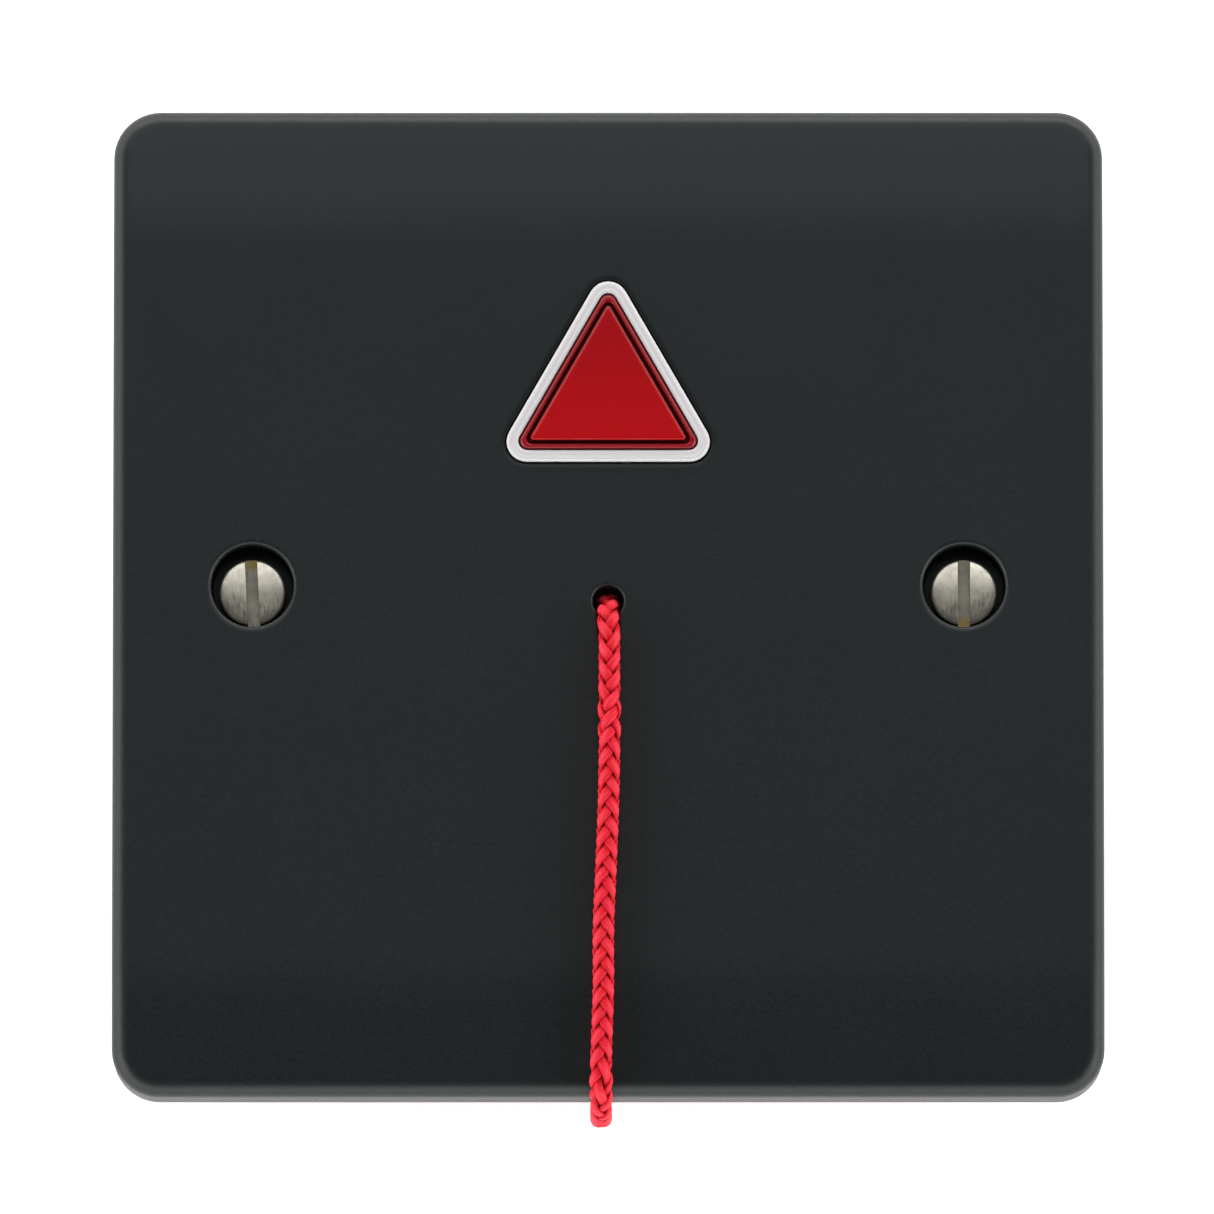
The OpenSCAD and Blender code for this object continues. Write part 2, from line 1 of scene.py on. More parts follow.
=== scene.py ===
"""Pull cord switch: a dark moulded wall plate with a triangular red lamp and a braided red cord.

The script is laid out as an add-on and is run as a script. It builds the finished pieces round the
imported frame, in metres, with +Z out of the plate's face and +Y up the wall."""
import json
import math

import bmesh
import bpy
import numpy as np
from bpy.props import FloatProperty, FloatVectorProperty, PointerProperty
from mathutils import Matrix, Vector
from mathutils.geometry import delaunay_2d_cdt

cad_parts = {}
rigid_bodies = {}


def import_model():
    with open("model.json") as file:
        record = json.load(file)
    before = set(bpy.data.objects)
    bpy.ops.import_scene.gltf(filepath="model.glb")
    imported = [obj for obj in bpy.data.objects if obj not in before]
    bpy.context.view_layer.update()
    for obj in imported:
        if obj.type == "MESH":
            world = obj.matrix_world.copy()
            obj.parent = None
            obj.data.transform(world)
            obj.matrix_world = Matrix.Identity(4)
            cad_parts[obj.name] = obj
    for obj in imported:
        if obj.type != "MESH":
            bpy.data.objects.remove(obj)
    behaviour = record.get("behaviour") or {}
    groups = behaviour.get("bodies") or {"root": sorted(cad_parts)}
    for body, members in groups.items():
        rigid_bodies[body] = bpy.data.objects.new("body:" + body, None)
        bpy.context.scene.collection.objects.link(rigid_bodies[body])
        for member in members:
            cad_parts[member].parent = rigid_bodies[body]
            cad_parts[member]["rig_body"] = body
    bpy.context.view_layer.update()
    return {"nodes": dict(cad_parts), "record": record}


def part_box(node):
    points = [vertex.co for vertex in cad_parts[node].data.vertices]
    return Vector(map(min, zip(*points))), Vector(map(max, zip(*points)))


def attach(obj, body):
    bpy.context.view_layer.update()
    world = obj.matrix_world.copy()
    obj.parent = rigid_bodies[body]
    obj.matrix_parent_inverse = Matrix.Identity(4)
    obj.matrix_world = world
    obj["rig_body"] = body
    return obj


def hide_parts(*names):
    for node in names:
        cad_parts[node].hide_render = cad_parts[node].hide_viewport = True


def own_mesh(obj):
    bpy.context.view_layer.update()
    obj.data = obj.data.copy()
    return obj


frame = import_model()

bl_info = {
    "name": "Pull Cord Switch",
    "version": (1, 0, 0),
    "blender": (4, 5, 0),
    "location": "View3D > Sidebar > Pull Switch",
    "description": "Builds the finished pieces of a pull cord switch round its frame",
    "category": "Object",
}

MM = 0.001
TAU = 2 * math.pi

# ---- places, from the frame ----

PLATE_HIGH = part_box("front_plate")[1]
GUIDE_LOW, GUIDE_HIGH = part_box("cord_guide")
SCREWS_LOW, SCREWS_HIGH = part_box("fixing_screws")
BEZEL_LOW, BEZEL_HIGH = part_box("indicator_bezel")
LENS_LOW, LENS_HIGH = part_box("indicator_lens")
BOARD_LOW, BOARD_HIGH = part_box("circuit_board")
COIL_LOW, COIL_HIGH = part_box("cord_coil")

HALF = PLATE_HIGH.x                 # half the plate's width
FACE_Z = PLATE_HIGH.z
UNDER_Z = GUIDE_HIGH.z              # underside of the plate's face
RIM_Z = FACE_Z - 8 * MM
PLATE_WALL = 2 * MM
PLATE_CORNER = 4 * MM
HEAD_R = (SCREWS_HIGH.y - SCREWS_LOW.y) / 2
FIXING_X = SCREWS_HIGH.x - HEAD_R
FIXING_Y = (SCREWS_HIGH.y + SCREWS_LOW.y) / 2
SEAT_Z = SCREWS_HIGH.z - 2.4 * MM   # under the fixing screws' heads
BOSS_Z = SEAT_Z - 2.2 * MM
RECESS_RISE = 0.5 * MM              # the screws hang this far below the middle of their recesses
LAMP_Y = 17.55 * MM
LAMP_SIDE = 13.85                   # between the corner centres of the lamp's opening, in millimetres
LENS_SIDE = 13.65                   # the same for the lens
LENS_CORNER = 0.7                   # radius of the lens's corners, in millimetres
COIL_CENTRE = (COIL_LOW + COIL_HIGH) / 2
EAR_SITES = [(x * MM, y * MM) for x in (-27, 27) for y in (10.5, 29)]
BOARD_SCREW_SITES = [(-17 * MM, 11 * MM), (17 * MM, 11 * MM)]
POLES = [(i - 1.5) * 5.08 * MM for i in range(4)]
TERMINAL_SCREW_Y = 27.8 * MM

# each node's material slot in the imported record
SLOTS = {part["node"]: part["material_slot"] for part in frame["record"]["subparts"]}


def linear(code):
    """Linear colour of an sRGB hex code."""
    values = [int(code[i:i + 2], 16) / 255 for i in (1, 3, 5)]
    return tuple(v / 12.92 if v <= 0.04045 else ((v + 0.055) / 1.055) ** 2.4 for v in values)


def colour(name, description, code):
    """A colour setting whose default is an sRGB hex code."""
    return FloatVectorProperty(name=name, description=description, default=linear(code),
                               size=3, subtype="COLOR", min=0, max=1)


def length(name, description, millimetres):
    """A length setting whose default is given in millimetres."""
    return FloatProperty(name=name, description=description, default=millimetres * MM,
                         min=0, subtype="DISTANCE", unit="LENGTH", precision=5)


class PlateSettings(bpy.types.PropertyGroup):
    """The front plate"""
    tint: colour("Plate colour", "Colour of the moulded plate", "#101718")
    roll: length("Edge roll", "Radius that rounds the plate's face into its sides", 1.5)
    camber_start: length("Camber start", "Distance from the middle at which the face turns back", 31.4)
    camber_bend: length("Camber bend", "Length over which the face turns into its camber", 1.5)
    recess_fillet: length("Recess fillet", "Radius round the mouths of the screw recesses", 0.4)
    texture: length("Mould texture", "Size of the grains of the spark-eroded mould texture", 0.22)


class LampSettings(bpy.types.PropertyGroup):
    """The reassurance lamp"""
    bezel: colour("Bezel colour", "Colour of the triangular bezel", "#D0CED0")
    lens: colour("Lens colour", "Colour of the lens where it is lit through", "#A80C12")
    # lens_apex_shade is painted shade towards the lens's apex; lens is its face painted as if lit through
    lens_apex_shade: colour("Lens shade", "Colour of the lens towards its apex", "#960A12")
    # lens_band_shade is painted shade on the sloping band and the groove round the lens face
    lens_band_shade: colour("Lens band", "Colour of the sloping band round the lens face", "#8C0C16")


class FixingSettings(bpy.types.PropertyGroup):
    """Screws and other metal"""
    nickel: colour("Nickel colour", "Colour of the plated fixing screws", "#E6E1D2")
    brass: colour("Brass colour", "Colour of the terminal clamps and of worn plating", "#D8BC70")
    slot: length("Slot width", "Width of the slot of a fixing screw", 1.05)
    pitch: length("Thread pitch", "Pitch of the fixing screws' thread", 0.6)


class CordSettings(bpy.types.PropertyGroup):
    """The braided cord"""
    diameter: length("Cord diameter", "Diameter over the braid", 2)
    length: length("Cord length", "Length of the whole cord", 1500)
    stitch: length("Stitch", "Distance between two chevrons of the braid", 1.7)
    # crest_highlight is a painted highlight on the yarns' crests
    crest_highlight: colour("Crest colour", "Colour of the yarns where they bulge", "#F6485A")
    flank: colour("Flank colour", "Colour of the yarns' sides", "#D41024")
    # gap is painted shade deep between the yarns
    gap: colour("Gap colour", "Colour deep between the yarns", "#86000E")
    pull: colour("Pull colour", "Colour of the cord pull", "#B5161F")


class CasingSettings(bpy.types.PropertyGroup):
    """The casing behind the plate and the circuit board in it"""
    cover: colour("Cover colour", "Colour of the rear cover and the white mouldings", "#CBC9C2")
    terminal: colour("Terminal colour", "Colour of the terminal block", "#8A9194")
    board: colour("Board colour", "Colour of the board's solder mask", "#1F5A34")
    edge: length("Moulded edge", "Radius along the edges of the small mouldings", 0.25)


class StageSettings(bpy.types.PropertyGroup):
    """The floor, the light and the camera"""
    floor: colour("Floor colour", "Colour of the studio floor", "#F6F6F6")
    distance: length("Camera distance", "Distance from the camera to the plate", 1607)
    lens: FloatProperty(name="Lens", description="Focal length of the camera, in millimetres",
                        default=561, min=50)
    elevation: FloatProperty(name="Elevation", description="Camera's angle above the horizon",
                             default=math.radians(84), subtype="ANGLE", unit="ROTATION")


SETTINGS = {
    "switch_plate": PlateSettings,
    "switch_lamp": LampSettings,
    "switch_fixing": FixingSettings,
    "switch_cord": CordSettings,
    "switch_casing": CasingSettings,
    "switch_stage": StageSettings,
}

# ---- mesh work ----


def joined(*parts):
    """One (points, faces) from several."""
    points, faces = [], []
    for some, rings in parts:
        faces += [tuple(i + len(points) for i in face) for face in rings]
        points += [tuple(p) for p in some]
    return points, faces


def loft(rings, start=None, end=None):
    """Faces between rings of equal length. start and end are None or "cap"."""
    count = len(rings[0])
    points = [tuple(p) for ring in rings for p in ring]
    faces = []
    for i in range(len(rings) - 1):
        for k in range(count):
            a, b = i * count + k, i * count + (k + 1) % count
            faces.append((a, b, b + count, a + count))
    if start == "cap":
        faces.append(tuple(reversed(range(count))))
    if end == "cap":
        faces.append(tuple(range((len(rings) - 1) * count, len(rings) * count)))
    return points, faces


def circle(radius, z, count, x=0.0, y=0.0):
    """One ring round an upright axis."""
    return [(x + radius * math.cos(TAU * k / count), y + radius * math.sin(TAU * k / count), z)
            for k in range(count)]


def revolve(profile, count=48, closed=False):
    """A turned shape from a profile of (radius, height). A radius of 0 makes a pole."""
    rings = [circle(max(r, 1e-7), z, count) for r, z in profile]
    if closed:
        return loft(rings + [rings[0]])
    return loft(rings, start="cap", end="cap")


def arc(x, z, radius, start, end, steps=5):
    """Points of (radius, height) along an arc, with its angles in degrees."""
    angles = [math.radians(start + (end - start) * i / steps) for i in range(steps + 1)]
    return [(x + radius * math.cos(a), z + radius * math.sin(a)) for a in angles]


def moved(part, matrix):
    """A part with a matrix applied to its points."""
    points, faces = part
    return [tuple(matrix @ Vector(p)) for p in points], faces


def at(x, y, z):
    """A move without a turn."""
    return Matrix.Translation((x, y, z))


def smoothstep(t):
    """0 below 0, 1 above 1, and a smooth rise between."""
    t = min(max(t, 0.0), 1.0)
    return t * t * (3 - 2 * t)


def link(name, mesh):
    """A new object in the scene."""
    piece = bpy.data.objects.new(name, mesh)
    bpy.context.scene.collection.objects.link(piece)
    return piece


def baked(piece):
    """The piece with its modifiers made part of its mesh."""
    graph = bpy.context.evaluated_depsgraph_get()
    mesh = bpy.data.meshes.new_from_object(piece.evaluated_get(graph), depsgraph=graph)
    old = piece.data
    piece.modifiers.clear()
    piece.data = mesh
    bpy.data.meshes.remove(old)
    return piece


def tidy(mesh):
    """Merges doubles and turns every face outwards."""
    shape = bmesh.new()
    shape.from_mesh(mesh)
    bmesh.ops.remove_doubles(shape, verts=shape.verts, dist=2e-7)
    bmesh.ops.dissolve_degenerate(shape, edges=shape.edges, dist=1e-7)
    bmesh.ops.recalc_face_normals(shape, faces=shape.faces)
    shape.to_mesh(mesh)
    shape.free()


def shaded(piece, angle=35):
    """Smooth shading that stays flat on large faces and breaks at edges sharper than an angle."""
    mesh = piece.data
    mesh.shade_smooth()
    mesh.set_sharp_from_angle(angle=math.radians(angle))
    weighted = piece.modifiers.new("weighted", "WEIGHTED_NORMAL")
    weighted.keep_sharp = True
    return baked(piece)


def built(name, part, material, angle=35):
    """A finished piece from its points and faces."""
    mesh = bpy.data.meshes.new(name)
    mesh.from_pydata([tuple(p) for p in part[0]], [], part[1])
    tidy(mesh)
    piece = shaded(link(name, mesh), angle)
    piece.data.materials.clear()
    piece.data.materials.append(material)
    return piece


def placed(piece, body, slot, *nodes):
    """Puts a finished piece on its body, in the place of the CAD nodes that it stands for."""
    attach(piece, body)
    if nodes:
        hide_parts(*nodes)
    return piece


def carved(piece, cutter):
    """The piece with another shape cut out of it."""
    mesh = bpy.data.meshes.new("cutter")
    mesh.from_pydata([tuple(p) for p in cutter[0]], [], cutter[1])
    tidy(mesh)
    tool = link("cutter", mesh)
    cut = piece.modifiers.new("cut", "BOOLEAN")
    cut.operation = "DIFFERENCE"
    cut.solver = "EXACT"
    cut.object = tool
    baked(piece)
    bpy.data.objects.remove(tool)
    bpy.data.meshes.remove(mesh)
    return piece


def box_part(low, high):
    """A plain box, for cutting."""
    a, b = Vector(low), Vector(high)
    ring = [(a.x, a.y), (b.x, a.y), (b.x, b.y), (a.x, b.y)]
    return loft([[(x, y, a.z) for x, y in ring], [(x, y, b.z) for x, y in ring]], "cap", "cap")


def softened_box(low, high, edge):
    """A box with chamfered edges, from three nested rings at each end."""
    a, b = Vector(low), Vector(high)

    def ring(inset, cut, z):
        x0, x1, y0, y1 = a.x + inset, b.x - inset, a.y + inset, b.y - inset
        return [(x0 + cut, y0, z), (x1 - cut, y0, z), (x1, y0 + cut, z), (x1, y1 - cut, z),
                (x1 - cut, y1, z), (x0 + cut, y1, z), (x0, y1 - cut, z), (x0, y0 + cut, z)]

    return loft([ring(edge, edge / 2, a.z), ring(0, edge, a.z + edge), ring(0, edge, b.z - edge),
                 ring(edge, edge / 2, b.z)], "cap", "cap")


def softened(node, name, width, material):
    """A copy of a CAD node with its corners merged and its edges rounded."""
    mesh = frame["nodes"][node].data.copy()
    mesh.name = name
    shape = bmesh.new()
    shape.from_mesh(mesh)
    bmesh.ops.remove_doubles(shape, verts=shape.verts, dist=1e-6)
    bmesh.ops.dissolve_limit(shape, angle_limit=math.radians(0.5), verts=shape.verts, edges=shape.edges)
    shape.to_mesh(mesh)
    shape.free()
    mesh.shade_smooth()
    piece = link(name, mesh)
    bevel = piece.modifiers.new("edges", "BEVEL")
    bevel.width = width
    bevel.segments = 2
    bevel.limit_method = "ANGLE"
    bevel.angle_limit = math.radians(40)
    bevel.harden_normals = False
    bevel.use_clamp_overlap = True
    weighted = piece.modifiers.new("weighted", "WEIGHTED_NORMAL")
    weighted.keep_sharp = True
    baked(piece)
    piece.data.materials.clear()
    piece.data.materials.append(material)
    return piece


# ---- sweeps and the braid ----


def spaced(points, step):
    """Points a step apart on a smooth curve through a list of points."""
    p = np.array(points, float)
    p = np.vstack([2 * p[0] - p[1], p, 2 * p[-1] - p[-2]])
    t = np.linspace(0, 1, 24, endpoint=False)[:, None]
    fine = []
    for i in range(1, len(p) - 2):
        a, b, c, d = p[i - 1:i + 3]
        fine.append(0.5 * (2 * b + (c - a) * t + (2 * a - 5 * b + 4 * c - d) * t ** 2
                           + (3 * b - a - 3 * c + d) * t ** 3))
    fine = np.vstack(fine + [p[-2:-1]])
    along = np.concatenate([[0], np.cumsum(np.linalg.norm(np.diff(fine, axis=0), axis=1))])
    wanted = np.linspace(0, along[-1], int(round(along[-1] / step)) + 1)
    return np.stack([np.interp(wanted, along, fine[:, k]) for k in range(3)], axis=1)


def frames(path, first):
    """Two normals at each point of a path, with no twist. first is close to the first normal."""
    tangent = np.gradient(path, axis=0)
    tangent /= np.linalg.norm(tangent, axis=1)[:, None]
    across = np.empty_like(path)
    last = np.array(first, float)
    for i, t in enumerate(tangent):
        last = last - (last @ t) * t
        last /= np.linalg.norm(last)
        across[i] = last
    return across, np.cross(tangent, across)


def tube(path, section, first=(1, 0, 0)):
    """A closed tube. section gives (across, up) offsets of one ring, the same for the whole path."""
    u, v = frames(path, first)
    rings = [[path[i] + a * u[i] + b * v[i] for a, b in section] for i in range(len(path))]
    return loft(rings, "cap", "cap")


def round_section(radius, count):
    """A round section for a tube."""
    return [(radius * math.cos(TAU * k / count), radius * math.sin(TAU * k / count))
            for k in range(count)]


class Braid:
    """An eight-strand braid, two over and two under, that a list of points follows."""

    def __init__(self, settings):
        self.outer = settings.diameter / 2
        self.lay = settings.stitch * 4          # length of one whole turn of a strand
        self.middle = 0.54 * self.outer
        self.wave = 0.24 * self.outer
        self.thick = 0.235 * self.outer
        self.wide = 0.44 * self.outer

    def strands(self, path, first, twist, sides=8):
        """Strands along a path. twist gives the braid's own turn at each point, in radians."""
        u, v = frames(path, first)
        along = np.concatenate([[0], np.cumsum(np.linalg.norm(np.diff(path, axis=0), axis=1))])
        parts, depth, uv = [], [], []
        for hand in (1, -1):
            for k in range(4):
                offset = k * TAU / 4 + (0 if hand > 0 else TAU / 8)
                angle = hand * TAU * along / self.lay + offset
                radius = self.middle + hand * self.wave * np.cos(2 * angle)
                turned = angle + twist
                out = np.cos(turned)[:, None] * u + np.sin(turned)[:, None] * v
                centre = path + radius[:, None] * out
                run = np.gradient(centre, axis=0)
                run /= np.linalg.norm(run, axis=1)[:, None]
                side = np.cross(run, out)
                side /= np.linalg.norm(side, axis=1)[:, None]
                up = np.cross(side, run)
                # level and depth say how far a strand lies out and how near the top of its section; the
                # cord's material paints shade and highlight from depth
                level = (hand * np.cos(2 * angle) + 1) / 2
                rings = []
                for j in range(sides):
                    a = TAU * j / sides
                    rings.append(centre + self.wide * math.cos(a) * side + self.thick * math.sin(a) * up)
                    depth.append(level * 0.55 + 0.45 * max(math.sin(a), 0) ** 0.6 * level)
                    across = np.full(len(path), j / sides + k + 0.5 * hand)
                    uv.append(np.stack([along / MM, across], axis=1))
                rings = np.stack(rings, axis=1)
                parts.append(loft(list(rings), "cap", "cap"))
                depth[-sides:] = [np.stack(depth[-sides:], axis=1).ravel()]
                uv[-sides:] = [np.stack(uv[-sides:], axis=1).reshape(-1, 2)]
        core = tube(path, round_section(self.middle * 0.9, 8), first)
        parts.append(core)
        # the core's depth of 0 takes the painted shade colour of the gaps between the yarns
        depth.append(np.zeros(len(core[0])))
        uv.append(np.zeros((len(core[0]), 2)))
        return joined(*parts), np.concatenate(depth), np.concatenate(uv)

    def relief(self, path, first, sides=16):
        """The braid as one tube with its strands in relief, for the wound length."""
        u, v = frames(path, first)
        rings, depth, uv = [], [], []
        per_ring = TAU / sides
        for i in range(len(path)):
            k = np.arange(sides)
            angle = k * per_ring
            front = np.cos(2 * angle) >= 0
            phase = np.where(front, k - i, k + i)
            height = np.cos(phase * TAU / 4)
            radius = self.outer * (0.93 + 0.07 * height)
            rings.append(path[i] + radius[:, None] * (np.cos(angle)[:, None] * u[i]
                                                      + np.sin(angle)[:, None] * v[i]))
            # depth follows the relief, for the cord's painted shade and painted highlight
            depth.append(0.5 + 0.45 * height)
            uv.append(np.stack([np.full(sides, i * self.lay / sides / MM), k * 4 / sides], axis=1))
        part = loft(rings, "cap", "cap")
        return part, np.concatenate(depth), np.concatenate(uv)

    def step(self):
        """Distance between the relief's rings, at which its pattern moves on by one side."""
        return self.lay / 16


def cord_mesh(name, pieces, material):
    """A cord piece from parts with their depths and strand coordinates."""
    points, faces = joined(*[p[0] for p in pieces])
    depth = np.concatenate([p[1] for p in pieces])
    uv = np.concatenate([p[2] for p in pieces])
    mesh = bpy.data.meshes.new(name)
    mesh.from_pydata([tuple(p) for p in points], [], faces)
    # the depth attribute drives the cord's painted shade and painted highlight
    mesh.attributes.new("depth", "FLOAT", "POINT").data.foreach_set("value", depth.astype(np.float32))
    corners = np.empty(len(mesh.loops), np.int32)
    mesh.loops.foreach_get("vertex_index", corners)
    layer = mesh.uv_layers.new(name="strand")
    layer.data.foreach_set("uv", uv[corners].astype(np.float32).ravel())
    shape = bmesh.new()
    shape.from_mesh(mesh)
    bmesh.ops.recalc_face_normals(shape, faces=shape.faces)
    shape.to_mesh(mesh)
    shape.free()
    mesh.shade_smooth()
    mesh.materials.append(material)
    return link(name, mesh)


# ---- materials ----


def add_node(tree, kind, settings=(), inputs=()):
    """Adds a node with its settings, and with values or links for its inputs."""
    made = tree.nodes.new(kind)
    for key, value in dict(settings).items():
        setattr(made, key, value)
    for key, value in dict(inputs).items():
        if isinstance(value, bpy.types.NodeSocket):
            tree.links.new(value, made.inputs[key])
        else:
            made.inputs[key].default_value = value
    return made


def shader(name, **constants):
    """A material with its shader, whose constants stand on the shader's own sockets."""
    material = bpy.data.materials.new(name)
    material.use_nodes = True
    tree = material.node_tree
    surface = tree.nodes["Principled BSDF"]
    for key, value in constants.items():
        surface.inputs[key.replace("_", " ")].default_value = value
    return material, tree, surface


def rgba(rgb, factor=1.0):
    """A colour made lighter or darker, as a socket takes it."""
    return tuple(min(c * factor, 1.0) for c in rgb) + (1.0,)


def grain(tree, size, stretch=(1, 1, 1), detail=2.0):
    """Noise whose features are about one size across, in metres, or longer along an axis."""
    place = add_node(tree, "ShaderNodeTexCoord")
    mapping = add_node(tree, "ShaderNodeMapping", inputs={
        "Vector": place.outputs["Object"], "Scale": tuple(1 / (s * size) for s in stretch)})
    return add_node(tree, "ShaderNodeTexNoise", inputs={
        "Vector": mapping.outputs["Vector"], "Scale": 1.0, "Detail": detail})


def shade_between(tree, factor, first, second, low=0.3, high=0.7):
    """A colour that goes from first to second as a factor goes from low to high."""
    spread = add_node(tree, "ShaderNodeMapRange", inputs={
        "Value": factor, "From Min": low, "From Max": high})
    mixed = add_node(tree, "ShaderNodeMix", {"data_type": "RGBA"}, {
        0: spread.outputs["Result"], 6: first, 7: second})
    return mixed.outputs[2]


def roughen(tree, surface, factor, low, high):
    """Lets a pattern vary the roughness between two values."""
    spread = add_node(tree, "ShaderNodeMapRange", inputs={
        "Value": factor, "From Min": 0.3, "From Max": 0.7, "To Min": low, "To Max": high})
    tree.links.new(spread.outputs["Result"], surface.inputs["Roughness"])


def bump(tree, surface, height, depth, strength=1.0):
    """Lets a pattern raise the surface by up to a depth, in metres."""
    relief = add_node(tree, "ShaderNodeBump", inputs={
        "Height": height, "Distance": depth, "Strength": strength})
    tree.links.new(relief.outputs["Normal"], surface.inputs["Normal"])


def moulded(name, rgb, rough, texture=0.2 * MM, relief=0.004 * MM, mottle=0.05, **constants):
    """Injection-moulded plastic: a fine even texture from the mould, hardly mottled."""
    material, tree, surface = shader(name, IOR=1.49, **constants)
    cloud = grain(tree, 9 * MM)
    fine = grain(tree, texture, detail=1.0)
    body = shade_between(tree, cloud.outputs["Fac"], rgba(rgb, 1 - mottle), rgba(rgb, 1 + mottle))
    tree.links.new(body, surface.inputs["Base Color"])
    roughen(tree, surface, fine.outputs["Fac"], rough - 0.05, rough + 0.05)
    bump(tree, surface, fine.outputs["Fac"], relief)
    return material


def metal(name, rgb, rough, size=0.5 * MM, stretch=(1, 1, 1), stain=0.12, relief=0.002 * MM):
    """Bare or plated metal: streaks along its lay, and a light uneven tarnish."""
    material, tree, surface = shader(name, Metallic=1.0)
    cloud = grain(tree, 1.6 * MM)
    lay = grain(tree, size, stretch, detail=3.0)
    body = shade_between(tree, cloud.outputs["Fac"], rgba(rgb, 1 - stain), rgba(rgb, 1 + stain / 2))
    tree.links.new(body, surface.inputs["Base Color"])
    roughen(tree, surface, lay.outputs["Fac"], rough - 0.07, rough + 0.08)
    bump(tree, surface, lay.outputs["Fac"], relief)
    return material


def plate_plastic(settings):
    """Urea moulding, satin from a spark-eroded mould. The grain softens every reflection."""
    return moulded("satin_urea_moulding", settings.tint, 0.42, settings.texture, 0.006 * MM, 0.05,
                   Specular_IOR_Level=0.38)


def bezel_plastic(settings):
    """White polycarbonate from a polished mould. It keeps clear highlights along its edges."""
    return moulded("gloss_white_polycarbonate", settings.bezel, 0.22, 0.5 * MM, 0.002 * MM, 0.015,
                   Coat_Weight=0.3, Coat_Roughness=0.1)


def lens_plastic(settings):
    """Tinted clear acrylic, polished. Painted shade makes it darkest towards the apex and in the step round
    its face.
    """
    material, tree, surface = shader("tinted_acrylic", IOR=1.49, Roughness=0.16, Coat_Weight=0.25,
                                     Coat_Roughness=0.06, Specular_IOR_Level=0.3)
    place = add_node(tree, "ShaderNodeTexCoord")
    parts = add_node(tree, "ShaderNodeSeparateXYZ", inputs={"Vector": place.outputs["Object"]})
    # painted shade: the face darkens from its lower part towards the apex, with a light random mottle
    height = add_node(tree, "ShaderNodeMapRange", {"interpolation_type": "SMOOTHSTEP"}, {
        "Value": parts.outputs["Y"], "From Min": LAMP_Y + 7 * MM, "From Max": LAMP_Y - 4 * MM,
        "To Min": 0.0, "To Max": 1.0})
    # painted shade: below the face, the band and step take the darker band colour
    step = add_node(tree, "ShaderNodeMapRange", {"interpolation_type": "SMOOTHSTEP"}, {
        "Value": parts.outputs["Z"], "From Min": LENS_HIGH.z - 0.22 * MM,
        "From Max": LENS_HIGH.z - 0.1 * MM})
    cloud = grain(tree, 3 * MM)
    uneven = add_node(tree, "ShaderNodeMapRange", inputs={
        "Value": cloud.outputs["Fac"], "To Min": 0.94, "To Max": 1.06})
    share = add_node(tree, "ShaderNodeMath", {"operation": "MULTIPLY"}, {
        0: height.outputs["Result"], 1: uneven.outputs["Result"]})
    face = shade_between(tree, share.outputs["Value"], rgba(settings.lens_apex_shade), rgba(settings.lens),
                         0.0, 1.0)
    # painted shade: the groove round the face goes near black
    groove_shade = add_node(tree, "ShaderNodeMapRange", {"interpolation_type": "SMOOTHSTEP"}, {
        "Value": parts.outputs["Z"], "From Min": LENS_HIGH.z - 0.62 * MM,
        "From Max": LENS_HIGH.z - 0.36 * MM})
    band = shade_between(tree, groove_shade.outputs["Result"], rgba(settings.lens_band_shade, 0.14),
                         rgba(settings.lens_band_shade), 0.0, 1.0)
    tint = shade_between(tree, step.outputs["Result"], band, face, 0.0, 1.0)
    tree.links.new(tint, surface.inputs["Base Color"])
    return material


def nickel(settings):
    """Nickel-plated brass, turned and barrel-finished. Plating is worn off at one end of each slot; painted
    shade darkens the head low down.
    """
    material, tree, surface = shader("nickel_plated_brass", Metallic=1.0)
    cloud = grain(tree, 1.2 * MM)
    lay = grain(tree, 0.12 * MM, (1, 6, 1), detail=3.0)
    plating = shade_between(tree, cloud.outputs["Fac"], rgba(settings.nickel, 0.72),
                            rgba(settings.nickel, 1.02))
    place = add_node(tree, "ShaderNodeTexCoord")
    worn = None
    for side in (-1, 1):
        spot = (side * FIXING_X, FIXING_Y - side * 2.6 * MM, SEAT_Z + 1.6 * MM)
        away = add_node(tree, "ShaderNodeVectorMath", {"operation": "DISTANCE"}, {
            0: place.outputs["Object"], 1: spot})
        near = add_node(tree, "ShaderNodeMapRange", inputs={
            "Value": away.outputs["Value"], "From Min": 0.9 * MM, "From Max": 0.5 * MM})
        if worn is None:
            worn = near.outputs["Result"]
        else:
            worn = add_node(tree, "ShaderNodeMath", {"operation": "MAXIMUM"}, {
                0: worn, 1: near.outputs["Result"]}).outputs["Value"]
    body = add_node(tree, "ShaderNodeMix", {"data_type": "RGBA"}, {
        0: worn, 6: plating, 7: rgba(settings.brass)})
    height = add_node(tree, "ShaderNodeSeparateXYZ", inputs={"Vector": place.outputs["Object"]})
    # painted shade: the head darkens below its top, down its sides and in its slot, where its recess shades
    # it
    recess_shade = add_node(tree, "ShaderNodeMapRange", inputs={
        "Value": height.outputs["Z"], "From Min": SCREWS_HIGH.z - 0.3 * MM,
        "From Max": SCREWS_HIGH.z - 0.7 * MM, "To Max": 0.5})
    shade_darkened = add_node(tree, "ShaderNodeMix", {"data_type": "RGBA"}, {
        0: recess_shade.outputs["Result"], 6: body.outputs[2], 7: rgba(settings.nickel, 0.15)})
    tree.links.new(shade_darkened.outputs[2], surface.inputs["Base Color"])
    roughen(tree, surface, lay.outputs["Fac"], 0.27, 0.42)
    bump(tree, surface, lay.outputs["Fac"], 0.0015 * MM)
    return material


